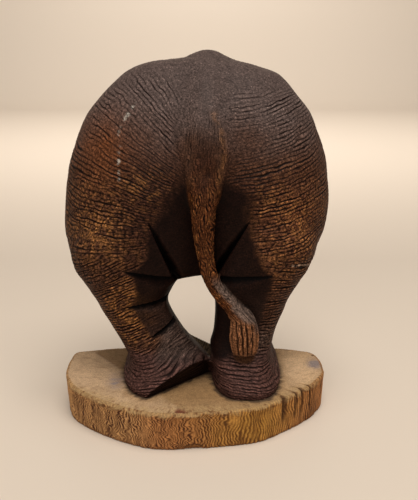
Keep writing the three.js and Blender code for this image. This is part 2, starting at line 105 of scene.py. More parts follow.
# Legs: outer side, inner side and front, as (height, distance)
LEFT_LEG = {
    "outer": [
        (0, -45.6), (3.5, -46), (8, -43.4), (13, -43.2), (18, -46.6), (26, -51.8), (33.5, -56.2),
        (41, -60), (49, -63.6), (56.5, -67.2), (64, -71.6), (72, -76), (87, -76), (105, -62), (122, -52),
    ],
    "inner": [
        (0, 15), (9, 13), (18, 6.5), (23.5, 1.8), (31, -4.2), (40.5, -9.9), (49.6, -14.2), (55.2, -14.8),
        (61.5, -12), (66, -9.6), (72, -9), (80, -11), (92, -15), (105, -22), (130, -30),
    ],
    "front": [
        (0, 69.5), (4, 69), (9, 64.5), (15, 57), (21, 51.5), (29, 48.5), (39, 48), (51, 50), (65, 54),
        (83, 57), (100, 55), (122, 44),
    ],
}
RIGHT_LEG = {
    "outer": [
        (0, 55), (3.5, 55.4), (8, 51.8), (13, 50), (18, 50.8), (26, 52.8), (33.5, 55.4), (41, 58.4),
        (49, 61), (56.5, 64.4), (64, 68.4), (72, 73), (87, 76), (105, 66), (122, 56),
    ],
    "inner": [
        (0, 10.5), (9, 11), (17, 9.4), (25, 8.8), (31, 10.2), (37, 11), (50, 11.6), (62, 10.4),
        (68, 8.4), (74, 8), (83, 14), (100, 24), (130, 34),
    ],
    "front": [
        (0, 70.5), (4, 70), (9, 66), (15, 58.5), (21, 52.5), (29, 48.5), (39, 47.5), (51, 50), (65, 54),
        (83, 57), (100, 55), (122, 44),
    ],
}
LEG_BACK = -20
LEG_TOP = 122
LEG_TOP_BLEND = 10
LEG_ROUND = [(0, 2.7), (6, 2.7), (16, 2.5), (60, 2.5)]
INNER_EDGE = [(0, 0), (10, 0.3), (20, 1.5), (70, 1.5), (90, 0), (130, 0)]
CREST_REACH = 42
GAP_FALL = 0.33
GAP_SPLAY = 0.12
LEG_BLEND = 5
SOLE_CUT = np.array([(-27, 67, 0.5), (8, 47, 16), (6.8, 37.3, 0)])
SOLE_BLEND = 0.6

# Web of wood left between the feet
WEB_HEIGHT = 10.9
WEB_LEFT = -14
WEB_RIGHT = 22
WEB_REACH = 22
WEB_FALL_RIGHT = 0.522
WEB_FALL_FRONT = 0.125
WEB_PEAK_X = -5.5
WEB_BLEND = 2

# Tail and tuft: x, reach, height, half width, half thickness
TAIL = [
    (7.4, 33, 172, 7, 3), (7.2, 42, 160, 9, 4), (7, 49, 148, 10.5, 5), (6.8, 53.6, 136, 10.2, 6),
    (6.6, 56.4, 125, 8.2, 6.4), (6.2, 57.5, 113, 7.2, 6.2), (6.1, 57, 101, 6.4, 5.8),
    (7.3, 55.5, 87, 5.2, 5.2), (9.4, 54, 75, 4.8, 4.8), (13, 53, 66, 4.5, 4.5),
    (17.8, 52.6, 59, 4.6, 4.6), (22.6, 52.5, 53.5, 4.7, 4.7), (26.2, 52.8, 49.5, 5.2, 4.6),
]
TUFT = [
    (21.5, 52.5, 54.5, 3.6, 3.6), (25.6, 52.9, 50, 5.3, 5), (29.2, 53.6, 45.5, 7.3, 6),
    (30.3, 54.2, 40, 8.5, 6.7), (30.6, 54.4, 34, 9, 6.9), (31, 54.2, 28, 8.4, 6.4),
    (31.2, 53.9, 24.5, 7.2, 5.4), (31.2, 53.6, 22.4, 5.6, 4.4),
]
TUFT_END = 22.6
TAIL_BLEND = [(0, 1.5), (80, 1.5), (110, 3), (130, 8), (200, 8)]
TUFT_LOCKS = 13

# Knife cuts: start, end, depth and slope at start, middle and end, side of the sloped wall
CUTS = [
    ((-40.5, 76.6), (-8.5, 70.6), (0.5, 4.5, 7), (2, 13, 17), -1),
    ((-40.5, 51.3), (-11, 57.6), (0.6, 5, 6), (2.5, 8, 8), -1),
    ((-26, 30.6), (-13, 40.8), (0.5, 3.5, 2.5), (1.5, 6, 5), -1),
    ((-25.5, 107), (-9, 65), (0.4, 4.5, 9), (1.5, 6, 9), 1),
    ((32.5, 106.5), (13, 71), (0.4, 4.5, 9), (1.5, 6, 9), -1),
    ((46.8, 73.6), (15.5, 72), (0.3, 3.5, 4.5), (1.5, 12, 14), 1),
]
CUT_STATIONS = 5
CUT_PROUD = 7
CUT_SPREAD = 12
CUT_FALL = 9
CUT_UNDER = 0.15
# Width in mm of the painted shadow along each cut
CUT_SHADOW_WIDTH = 2.3


def curve(table, t):
    """Smooth curve through the table's pairs."""
    keys = np.array([row[0] for row in table], np.float32)
    values = np.array([row[1] for row in table], np.float32)
    slopes = np.empty(len(keys), np.float32)
    slopes[1:-1] = (values[2:] - values[:-2]) / (keys[2:] - keys[:-2])
    slopes[0] = (values[1] - values[0]) / (keys[1] - keys[0])
    slopes[-1] = (values[-1] - values[-2]) / (keys[-1] - keys[-2])
    t = np.clip(np.asarray(t, np.float32), keys[0], keys[-1])
    i = np.clip(np.searchsorted(keys, t) - 1, 0, len(keys) - 2)
    step = keys[i + 1] - keys[i]
    u = (t - keys[i]) / step
    rise = u * u * (3 - 2 * u)
    leave = u * (1 - u) ** 2 * slopes[i]
    arrive = u * u * (u - 1) * slopes[i + 1]
    return values[i] + (values[i + 1] - values[i]) * rise + (leave + arrive) * step


def blended_min(a, b, blend):
    h = np.clip(0.5 + 0.5 * (b - a) / blend, 0, 1)
    return b * (1 - h) + a * h - blend * h * (1 - h)


def blended_max(a, b, blend):
    return -blended_min(-a, -b, blend)


def rump(x, d, z):
    left = curve(RUMP_LEFT, z)
    right = curve(RUMP_RIGHT, z)
    half = (right - left) / 2
    aside = x - SPINE_X
    hollow = curve(HOLLOW_DEPTH, z) * np.exp(-((aside / curve(HOLLOW_WIDTH, z)) ** 2))
    ridge = curve(RIDGE_HEIGHT, z) * np.exp(-((aside / RIDGE_WIDTH) ** 2))
    reach = curve(RUMP_REACH, z)
    across = np.abs(x - (left + right) / 2) / half
    forward = np.maximum(d, 0) / (reach - hollow + ridge)
    total = across ** ROUND_ACROSS + forward ** ROUND_FORWARD
    radius = total ** (2 / (ROUND_ACROSS + ROUND_FORWARD))
    return blended_max((radius - 1) * np.minimum(half, reach), CROTCH_HEIGHT - z, CROTCH_BLEND)


def leg(drawn, inward, x, d, z):
    behind = np.clip(CREST_REACH - d, 0, CREST_REACH)
    outer = curve(drawn["outer"], z)
    inner = curve(drawn["inner"], z + GAP_FALL * behind) - inward * GAP_SPLAY * behind
    half_width = np.abs(outer - inner) / 2
    half_depth = (curve(drawn["front"], z) - LEG_BACK) / 2
    aside = x - (outer + inner) / 2
    power = curve(LEG_ROUND, z) + np.where(aside * inward > 0, curve(INNER_EDGE, z), 0)
    across = np.abs(aside) / half_width
    forward = np.abs(d - LEG_BACK - half_depth) / half_depth
    radius = (across ** power + forward ** power) ** (1 / power)
    return blended_max((radius - 1) * np.minimum(half_width, half_depth), z - LEG_TOP, LEG_TOP_BLEND)


sole_normal = np.cross(SOLE_CUT[2] - SOLE_CUT[1], SOLE_CUT[0] - SOLE_CUT[1])
sole_normal = (sole_normal / np.linalg.norm(sole_normal)).astype(np.float32)
sole_distance = np.float32(sole_normal @ SOLE_CUT[0])


def under_sole(x, d, z):
    return sole_normal[0] * x + sole_normal[1] * d + sole_normal[2] * z - sole_distance


def web(x, d, z):
    top = WEB_HEIGHT - WEB_FALL_RIGHT * (x - WEB_PEAK_X) - WEB_FALL_FRONT * d
    sides = np.maximum(WEB_LEFT - x, x - WEB_RIGHT)
    return np.maximum(np.maximum(z - top, d - WEB_REACH), sides)


def carved_body(x, d, z):
    """Below 0 inside the body and legs."""
    left = blended_max(leg(LEFT_LEG, 1, x, d, z), under_sole(x, d, z), SOLE_BLEND)
    right = leg(RIGHT_LEG, -1, x, d, z)
    legs = blended_min(blended_min(rump(x, d, z), left, LEG_BLEND), right, LEG_BLEND)
    return blended_min(legs, web(x, d, z), WEB_BLEND)


def front_of(x, z):
    """Forward reach of the body at a place in the front view."""
    reaches = np.arange(77.5, 0, -0.25, dtype=np.float32)
    inside = np.nonzero(carved_body(np.float32(x), reaches, np.float32(z)) < 0)[0]
    return reaches[inside[0]] if len(inside) else 0


def half_spaces(start, end):
    """Planes around the solid between two triangles."""
    points = np.array(start + end, float)
    middle = points.mean(0)
    planes = []
    for a, b, c in ((0, 1, 2), (3, 5, 4), (0, 3, 4), (1, 4, 5), (2, 5, 3)):
        normal = np.cross(points[b] - points[a], points[c] - points[a])
        normal /= np.linalg.norm(normal)
        if normal @ (middle - points[a]) > 0:
            normal = -normal
        planes.append((normal.astype(np.float32), np.float32(normal @ points[a])))
    return points.min(0), points.max(0), planes


def cut_wedges(start, end, depths, slopes, side):
    """The wedge of one knife cut, as solids from station to station."""
    along = np.subtract(end, start) / np.hypot(*np.subtract(end, start))
    aside = side * np.array((-along[1], along[0]))
    furthest_back = front_of(*start) - CUT_FALL
    triangles = []
    for station in range(CUT_STATIONS):
        t = station / (CUT_STATIONS - 1)
        x = start[0] + (end[0] - start[0]) * t
        z = start[1] + (end[1] - start[1]) * t
        d = max(front_of(x, z), furthest_back)
        deep = float(curve(list(zip((0, 0.5, 1), depths)), t))
        run = float(curve(list(zip((0, 0.5, 1), slopes)), t))
        spread = min(run * (1 + CUT_PROUD / deep), run + CUT_SPREAD)
        under = deep * CUT_UNDER
        triangles.append([
            (x, d + CUT_PROUD, z),
            (x - aside[0] * under, d - deep, z - aside[1] * under),
            (x + aside[0] * spread, d + CUT_PROUD, z + aside[1] * spread),
        ])
    return [half_spaces(a, b) for a, b in zip(triangles[:-1], triangles[1:])]


wedges = [wedge for cut in CUTS for wedge in cut_wedges(*cut)]


def fine_stations(stations, steps=5):
    """The stations of a rope, with smooth ones between them."""
    places = np.linspace(0, len(stations) - 1, (len(stations) - 1) * steps + 1)
    columns = [curve([(i, row[k]) for i, row in enumerate(stations)], places) for k in range(5)]
    return np.stack(columns, 1).astype(np.float32)


def rope(stations, x, d, z):
    """Below 0 inside the rope, with the length along it and the offsets to its right and front."""
    best = None
    length = np.float32(0)
    for p, q in zip(stations[:-1], stations[1:]):
        v = q[:3] - p[:3]
        long = np.linalg.norm(v)
        u = np.clip(((x - p[0]) * v[0] + (d - p[1]) * v[1] + (z - p[2]) * v[2]) / (v @ v), 0, 1)
        wide = p[3] + u * (q[3] - p[3])
        thick = p[4] + u * (q[4] - p[4])
        gx = x - p[0] - u * v[0]
        gd = d - p[1] - u * v[1]
        gz = z - p[2] - u * v[2]
        radius = np.sqrt((gx / wide) ** 2 + (gd / thick) ** 2 + (gz / wide) ** 2)
        value = (radius - 1) * np.minimum(wide, thick)
        right = (-gx * v[2] + gz * v[0]) / np.hypot(v[0], v[2])
        along = length + u * long
        length += long
        if best is None:
            best = [value, along, right, gd]
            continue
        nearer = value < best[0]
        for k, part in enumerate((value, along, right, gd)):
            best[k] = np.where(nearer, part, best[k])
    return best


tail_stations = fine_stations(TAIL)
tuft_stations = fine_stations(TUFT)


def reach_box(stations, margin):
    return stations[:, :3].min(0) - margin, stations[:, :3].max(0) + margin


tail_box = reach_box(tail_stations, 20)
tuft_box = reach_box(tuft_stations, 12)


def add_tail(x, d, z, f):
    return blended_min(f, rope(tail_stations, x, d, z)[0], curve(TAIL_BLEND, z))


def add_tuft(x, d, z, f):
    hair = blended_max(rope(tuft_stations, x, d, z)[0], TUFT_END - z, 1.5)
    return blended_min(f, hair, 1)


def cut_with(planes):
    def cut(x, d, z, f):
        inside = None
        for normal, distance in planes:
            side = normal[0] * x + normal[1] * d + normal[2] * z - distance
            inside = side if inside is None else np.maximum(inside, side)
        return np.maximum(f, -inside)
    return cut


# What changes the body only within a box: cuts first, then tail and tuft
CHANGES = [(low - 2, high + 2, cut_with(planes)) for low, high, planes in wedges]
CHANGES += [(*tail_box, add_tail), (*tuft_box, add_tuft)]


def sawn(f, d, z):
    return np.maximum(np.maximum(f, -d), np.maximum(-z, z - TOP))


def field_on_grid(axes):
    x, d, z = axes[0][:, None, None], axes[1][None, :, None], axes[2][None, None, :]
    f = np.array(np.broadcast_to(carved_body(x, d, z), [len(axis) for axis in axes]), np.float32)
    for low, high, change in CHANGES:
        part = tuple(slice(*np.searchsorted(axis, (low[k], high[k]))) for k, axis in enumerate(axes))
        f[part] = change(x[part[0]], d[:, part[1]], z[:, :, part[2]], f[part])
    return sawn(f, d, z)


def field_at(points):
    x, d, z = points.T
    f = carved_body(x, d, z)
    for low, high, change in CHANGES:
        near = np.all((points > low) & (points < high), axis=1)
        f[near] = change(x[near], d[near], z[near], f[near])
    return sawn(f, d, z)


def steepness(points, tiny):
    steps = np.eye(3, dtype=np.float32) * tiny
    return np.stack([(field_at(points + s) - field_at(points - s)) / (2 * tiny) for s in steps], 1)


def surface_net(axes, cell):
    """Quads over the surface where the field is 0, one point in each cell that it crosses."""
    f = field_on_grid(axes)
    inside = f < 0
    cells = np.array(f.shape) - 1
    total = np.zeros((*cells, 3), np.float32)
    count = np.zeros(cells, np.float32)
    quads = []
    for axis in range(3):
        here = tuple(slice(0, -1) if k == axis else slice(None) for k in range(3))
        there = tuple(slice(1, None) if k == axis else slice(None) for k in range(3))
        crossed = inside[here] != inside[there]
        places = np.argwhere(crossed)
        crossing = places.astype(np.float32)
        crossing[:, axis] += f[here][crossed] / (f[here][crossed] - f[there][crossed])
        others = [k for k in range(3) if k != axis]
        corners = []
        for back in ((0, 0), (1, 0), (1, 1), (0, 1)):
            corner = places.copy()
            corner[:, others[0]] -= back[0]
            corner[:, others[1]] -= back[1]
            corners.append(corner)
            name = tuple(corner.T)
            np.add.at(total, name, crossing)
            np.add.at(count, name, 1)
        quad = np.stack(corners, 1)
        turned = inside[here][crossed] == (axis != 1)
        quad[turned] = quad[turned][:, ::-1]
        quads.append(quad)
    used = count > 0
    numbers = np.full(count.shape, -1, np.int64)
    numbers[used] = np.arange(used.sum())
    low = np.array([axis[0] for axis in axes], np.float32)
    points = total[used] / count[used][:, None] * cell + low
    corners = np.concatenate(quads)
    return points.astype(np.float32), numbers[corners[..., 0], corners[..., 1], corners[..., 2]]


def value_noise(a, b, c, seed):
    """Smooth noise from -1 to 1 over three coordinates."""
    spots = [np.floor(t).astype(np.int64) for t in (a, b, c)]
    eased = []
    for t, spot in zip((a, b, c), spots):
        u = t - spot
        eased.append(u * u * (3 - 2 * u))
    total = 0
    for corner in range(8):
        weight = 1
        name = seed * 1013904223
        for k, prime in enumerate((374761393, 668265263, 1442695041)):
            step = (corner >> k) & 1
            weight = weight * (eased[k] if step else 1 - eased[k])
            name = name + (spots[k] + step) * prime
        name = (name ^ (name >> 13)) * 1274126177
        name = (name ^ (name >> 16)) & 0xFFFFFF
        total = total + weight * (name / 0x800000 - 1)
    return total


def layered_noise(points, size, seed, layers=3):
    """Noise of several sizes, the largest of the given size in mm."""
    total = 0
    share = 1
    for layer in range(layers):
        scaled = points.T / (size * 0.5 ** layer)
        total = total + share * value_noise(*scaled, seed + layer)
        share *= 0.5
    return total / (2 - 2 * share)


def ease(low, high, t):
    u = np.clip((t - low) / (high - low), 0, 1)
    return u * u * (3 - 2 * u)


def furrows(across, u, v, spacing, seed, wander=0.55, length=9, chop=0.4):
    """Phase and strength of long broken grooves: the phase grows by 1 from one line to the next."""
    drift = wander * value_noise(across / (4 * spacing), u / 13, v / 13, seed)
    drift = drift + 0.45 * wander * value_noise(across / (1.3 * spacing), u / 4, v / 4, seed + 1)
    phase = across / spacing + drift
    strength = 0.62 + 0.5 * value_noise(np.floor(phase) * 7.31, u / length, v / length, seed + 2)
    strength = strength + chop * value_noise(np.floor(phase) * 3.17, u / 2.8, v / 2.8, seed + 3)
    return phase, np.clip(strength, 0, 1)


def groove(phase, amount, width):
    """V groove across a line's phase, narrower where its amount is less."""
    near = np.abs(phase - np.floor(phase) - 0.5) * 2
    return np.clip(amount - near / width, 0, 1)


# In the front view: dark zone of the inner thighs, the tail's broad root and the ridges on that
DARK_ZONE = [
    (-5.3, 129.8), (-11.6, 121.2), (-15.7, 115.4), (-23.5, 108.4), (-26, 94), (-26.5, 84.8),
    (-31.4, 79.3), (-39.5, 76.2), (-34.5, 71.5), (-34.3, 56.3), (-39.6, 51.3), (-35.4, 48.6),
    (-26.2, 31.7), (-11.7, 41), (-4, 32.2), (8.7, 22.5), (12.4, 16.3), (23.6, 20.7), (38.8, 27),
    (41.7, 42.4), (44.3, 56), (46.2, 72.5), (41.7, 81.5), (38, 87.9), (35.6, 98.9), (32.8, 109.3),
    (31.4, 120), (26.8, 126.4), (18.8, 134.3), (7, 128),
]
TAIL_ROOT = [
    (9, 169), (14, 166), (18.6, 157.5), (20, 147), (18.5, 136), (14, 122), (-0.5, 122), (-3.2, 137),
    (-6.5, 149), (-8, 158), (1, 161),
]
ROOT_RIDGE = [(11.3, 168), (16.4, 157), (17.6, 146), (16, 133), (12.7, 120)]
ROOT_LEFT_RIDGE = [(-6, 152), (-2, 138), (0.5, 124)]


def away_from(line, x, z):
    """Distance from a line in the front view."""
    nearest = np.full(x.shape, np.inf)
    for (x0, z0), (x1, z1) in zip(line[:-1], line[1:]):
        vx, vz = x1 - x0, z1 - z0
        u = np.clip(((x - x0) * vx + (z - z0) * vz) / (vx * vx + vz * vz), 0, 1)
        nearest = np.minimum(nearest, np.hypot(x - x0 - u * vx, z - z0 - u * vz))
    return nearest


def depth_in(outline, x, z):
    """Distance inside an outline in the front view, below 0 outside."""
    closed = outline + outline[:1]
    inside = np.zeros(x.shape, bool)
    for (x0, z0), (x1, z1) in zip(closed[:-1], closed[1:]):
        if z1 != z0:
            crosses = (z0 > z) != (z1 > z)
            inside ^= crosses & (x < x0 + (z - z0) * (x1 - x0) / (z1 - z0))
    nearest = away_from(closed, x, z)
    return np.where(inside, nearest, -nearest)


def along_line(start, end, side, x, z):
    """Share of the way along a straight line, and distance from it to its given side."""
    run = np.subtract(end, start)
    long = np.hypot(*run)
    t = ((x - start[0]) * run[0] + (z - start[1]) * run[1]) / long ** 2
    return t, side * ((z - start[1]) * run[0] - (x - start[0]) * run[1]) / long


def patch(x, z, centre, size):
    """Soft oval patch, 1 in its middle."""
    return np.exp(-(((x - centre[0]) / size[0]) ** 2) - ((z - centre[1]) / size[1]) ** 2)


def patches(table, x, z):
    """Sum of soft patches, each given as its share, centre and size."""
    return sum(share * patch(x, z, centre, size) for share, centre, size in table)


# Width of a groove as a share of the spacing of its lines
LINE_WIDTHS = {"top_lines": 0.68, "leg_lines": 0.7, "cross_lines": 0.42, "fibre_lines": 0.62}

# Spacing of the lines in mm, and the point from which those on the left fan out
FAN_SPACING = 2.2
RISE_SPACING = 2.1
LEG_SPACING = 2.1
FOOT_SPACING = 1.45
FOOT_LINES_TOP = 24
CROSS_SPACING = 3.6
FIBRE_SPACING = 1.15
FAN_CENTRE = (50, 97)
FAN_ARM = 100

# Depths of the carving in mm, and the soft hollows on the tail's root
FIBRE_DEPTH = 0.35
LOCK_DEPTH = 1.5
LOCK_WIDTH = 0.62
ROOT_HOLLOWS = [(1.1, (6, 142), (6, 13)), (0.9, (9, 134.5), (2.2, 3.2)), (0.9, (-9, 152), (6, 9))]
BACK_FACE = 0.6


def skin_masks(points, normals):
    """Masks of the figure's parts from 0 to 1, and places along and across tail and tuft."""
    x, d, z = points.T
    m = SimpleNamespace()
    soft = 1.4 + 4.5 * ease(88, 120, z) + 1.2 * (x > 20)
    m.zone = ease(-soft, soft, depth_in(DARK_ZONE, x, z) + soft * layered_noise(points, 8, 11))
    m.zone = m.zone * (1 - 0.5 * patch(x, z, (-26, 43), (8, 7)))
    m.front = ease(-0.2, 0.25, normals[:, 1] + 0.35) * ease(0.2, 2, d) * ease(-0.75, -0.4, normals[:, 2])
    value, m.tail_along, m.tail_right, m.tail_forward = rope(tail_stations, x, d, z)
    tail = ease(1.6, 0.3, value) * ease(150, 122, z)
    root_edge = depth_in(TAIL_ROOT, x, z) + 3 * layered_noise(points, 7, 14)
    m.root = ease(-2.5, 3, root_edge) * ease(0.3, 2, d)
    value, m.tuft_along, m.tuft_right, m.tuft_forward = rope(tuft_stations, x, d, z)
    hair = ease(0.9, 0.3, value)
    m.tuft = hair * ease(48, 43, z + 0.35 * (x - 30))
    m.tail = np.maximum(tail, hair - m.tuft)
    m.plain = (1 - m.tail) * (1 - m.tuft)
    m.stain = m.zone * m.plain
    m.feet = ease(26, 18, z)
    m.upper = ease(78, 90, z)
    m.round_leg = np.where(x < SPINE_X, -x, x) - d
    m.shank = ease(-24, -17, x - 0.3 * (z - 30)) * (x < 12) * ease(12, 22, z)
    cone = ease(0, 2.6, m.tail_right + 0.08 * (z - 58)) * ease(76, 66, z)
    m.cone = np.maximum(cone * (1 - hair), ease(0, 0.6, hair - m.tuft) * ease(-1.5, 1.5, m.tuft_right))
    return m


def skin_lines(points, m):
    """Phase and amount of each set of lines: fanned or rising above, rings and cross lines on the legs."""
    x, d, z = points.T
    left = x < SPINE_X
    fan_x, fan_z = x - FAN_CENTRE[0], z - FAN_CENTRE[1]
    angle = np.arctan2(fan_z, -fan_x)
    rise = z - (0.0022 + 0.0022 * ease(105, 160, z)) * (x - 22) ** 2 - 0.06 * x
    ring_slope = np.where(left, 0.2 + 0.3 * ease(8, 28, z), -0.12 + 0.06 * ease(20, 8, z))
    rings = z - ring_slope * (x - np.where(left, -40, 35))
    rings = rings + np.where(left, 0, 0.005 * m.feet * (x - 32) ** 2)
    fan_lines = furrows(angle * FAN_ARM, np.hypot(fan_x, fan_z), d, FAN_SPACING, 21, length=16, chop=0.25)
    rise_lines = furrows(rise, x, d, RISE_SPACING, 24, length=16, chop=0.25)
    top_phase, top_strength = (np.where(left, a, b) for a, b in zip(fan_lines, rise_lines))
    leg_spacing = np.where(z < FOOT_LINES_TOP, FOOT_SPACING, LEG_SPACING)
    leg_phase, leg_strength = furrows(rings, x, d, leg_spacing, 27, wander=0.7)
    leg_across = m.round_leg + 0.12 * z
    cross_phase, cross_strength = furrows(leg_across, z, d * 0.3, CROSS_SPACING, 30, wander=1.2, length=5)
    fibre_across = m.tail_right + 0.55 * np.sin(m.tail_along / 3.2 + m.tail_right)
    fibre_phase, fibre_strength = furrows(
        fibre_across, m.tail_along * 1.6, m.tail_forward, FIBRE_SPACING, 33, wander=1.1)

    steep = np.where(left, ease(1.35, 1.05, np.abs(angle)), ease(182, 164, z - 0.1 * x))
    by_tail = ease(6, 24, np.abs(x - SPINE_X) + 0.15 * np.maximum(150 - z, 0))
    skin_amount = (1 - 0.93 * m.zone) * m.plain * m.front
    broken = 0.85 + 0.45 * layered_noise(points, 13, 43)
    fading = ease(197, 172, z) * (0.75 + 0.25 * ease(155, 120, z))
    top_amount = top_strength * m.upper * steep * by_tail * skin_amount * (1 - m.root) * fading * broken
    leg_amount = leg_strength * (1 - m.upper) * skin_amount * (1 - 0.25 * m.feet) * (1 - 0.5 * m.shank)
    grid = 0.55 * ease(70, 84, z) * ease(134, 112, z) + 0.3 * ease(84, 70, z) * (1 - m.feet)
    fibre_amount = 0.9 * fibre_strength * np.maximum(m.tail, 0.6 * m.root)
    return {
        "top_lines": (top_phase, top_amount),
        "leg_lines": (leg_phase, leg_amount),
        "cross_lines": (cross_phase, cross_strength * grid * skin_amount * by_tail),
        "fibre_lines": (fibre_phase, fibre_amount * (1 - m.tuft) * (1 - 0.85 * m.cone)),
    }


def tuft_grooves(points, m):
    """Grooves between the tuft's locks, with finer ones between them."""
    phase = np.arctan2(m.tuft_right, m.tuft_forward) * TUFT_LOCKS / (2 * pi)
    phase = phase + 0.26 * layered_noise(points, 7, 36)
    amount = m.tuft * ease(2, 8, m.tuft_along) * ease(22.8, 25, points[:, 2])
    finer = 0.5 * groove(phase * 2 + 0.5, amount * 0.8, 0.5)
    return np.maximum(groove(phase, amount, LOCK_WIDTH), finer)


def knife_cut_shadows(points, m):
    """1 where shadow is painted in the bottoms of the knife cuts."""
    x, d, z = points.T
    cut_shade = ease(1, 3.6, -carved_body(x, d, z))
    for start, end, _, _, side in CUTS:
        t, beside = along_line(start, end, side, x, z)
        flat = 1 + 0.8 * abs(end[0] - start[0]) / np.hypot(*np.subtract(end, start))
        half = flat * CUT_SHADOW_WIDTH * np.sqrt(np.clip(t, 0, 1)) * (1 - 0.3 * t)
        band = ease(1, 0.45, np.abs(beside - 0.5 * half) / np.maximum(half, 1e-3))
        cut_shade = np.maximum(cut_shade, band * (t > 0) * (t < 1.05))
    return cut_shade * m.plain * ease(1.5, 4, d)


def skin(points, normals):
    """Masks, lines and relief in mm of the carved skin at points of the figure."""
    x, d, z = points.T
    m = skin_masks(points, normals)
    m.lines = skin_lines(points, m)
    grooves = {name: groove(*m.lines[name], width) for name, width in LINE_WIDTHS.items()}
    fibres = grooves.pop("fibre_lines")
    wrinkles = np.maximum.reduce(list(grooves.values()))
    m.locks = tuft_grooves(points, m)
    m.in_cut = knife_cut_shadows(points, m)

    depth = 0.45 + 0.25 * ease(130, 95, z)
    lumps = 0.45 * layered_noise(points, 7, 40) * (0.4 + 0.6 * (1 - m.zone)) * m.front
    rooted = 1.3 * ease(4, 0, away_from(ROOT_RIDGE, x, z))
    rooted = rooted + 0.9 * ease(4, 0, away_from(ROOT_LEFT_RIDGE, x, z))
    for share, centre, size in ROOT_HOLLOWS:
        rooted = rooted - share * patch(x, z, centre, size)
    rooted = np.minimum(rooted, 0.9) * ease(6, 20, d)
    relief = -depth * wrinkles - FIBRE_DEPTH * fibres - LOCK_DEPTH * m.locks
    relief = relief + np.minimum(lumps, 0.1) - 0.1 + rooted
    m.relief = relief * ease(0.15, 1.2, d) * ease(0.05, 0.6, z)

    on_tail = np.maximum(m.tail, m.root) > 0.5
    phases = {name: phase for name, (phase, _) in m.lines.items()}
    across = np.where(m.upper > 0.5, phases["top_lines"], phases["leg_lines"])
    across = np.where(on_tail, phases["fibre_lines"], across)
    along = np.where(on_tail, m.tail_along, m.round_leg)
    m.across = np.where(d < BACK_FACE, x / 1.6, across)
    m.along = np.where(d < BACK_FACE, z / 3, along)
    return m


def mixed(a, b, share):
    """Colours from a to b, each one colour or one for each point."""
    share = np.asarray(share)[:, None]
    return np.asarray(a) * (1 - share) + np.asarray(b) * share


# Colours of the stained wood, linear
# Grey of the painted sheen on upper surfaces, also the grey of the tuft's right side
GREY_WOOD_AND_SHEEN = (0.074, 0.051, 0.045)
BROWN = (0.051, 0.0215, 0.0118)
RED_BROWN = (0.1, 0.034, 0.013)
WORN_GOLD = (0.2, 0.085, 0.026)
# Brown of painted shade in hollows and recesses
SHADE_BROWN = (0.026, 0.01, 0.006)
# Near black of the inner thighs: dark stain with painted shade of the recess
DARK_STAIN_AND_SHADE = (0.006, 0.0022, 0.0018)
FOOT_PURPLE = (0.054, 0.0245, 0.0195)
TAIL_BROWN = (0.066, 0.0215, 0.0072)
TUFT_GOLD = (0.19, 0.08, 0.036)
# Bare wood of the web between the feet, darkened with painted shade
SHADED_BARE_WOOD = (0.075, 0.045, 0.02)
SHANK_GREY = (0.054, 0.036, 0.03)
SHANK_DARK = (0.03, 0.0155, 0.0115)
NECK_GREY = (0.1, 0.071, 0.058)
CREST_HIGHLIGHT = (0.08, 0.056, 0.042)
# Near black of the painted shadow in the knife cuts
CUT_SHADOW_BLACK = (0.0015, 0.0008, 0.0007)
ROOT_BROWN = (0.042, 0.019, 0.0108)
WHITE_FLECK = (0.4, 0.36, 0.31)
SAWN_BACK = (0.1, 0.055, 0.032)
# Near black of painted shade in grooves, between the tuft's locks and under the sole
GROOVE_SHADE = (0.006, 0.0022, 0.0014, 1)

# Soft patches of colour on the skin: share, centre and size in the front view
RED_PATCHES = [(1, (-50, 143), (19, 21)), (0.6, (56, 104), (24, 24))]
SHADE_PATCHES = [
    (1, (-22, 126), (22, 16)), (0.8, (30, 126), (16, 18)), (1.5, (-31, 96), (14, 22)),
    (0.6, (6, 125), (30, 16)), (0.6, (-66, 78), (18, 15)), (0.5, (60, 80), (20, 14)),
]
WORN_PATCHES = [(1, (-52, 103), (26, 20)), (0.68, (54, 104), (22, 24))]
WORN_LOWER = [(0.7, (-26, 127), (12, 8)), (0.35, (58, 76), (16, 14))]

# White flecks on the left, a scratch on the right, and the crest of the left leg's inner edge, where a
# highlight is painted
FLECKS = [(-33, 170), (-38.3, 162.6), (-41.6, 155.2), (-41.5, 145.7), (-41.2, 130)]
SCRATCH = [(57.7, 79.6), (63, 79.2), (69.7, 76.4)]
CREST = [(-13.4, 51.3), (-9.4, 42.6), (-3.8, 33.1), (6.8, 21), (13.1, 12.7)]


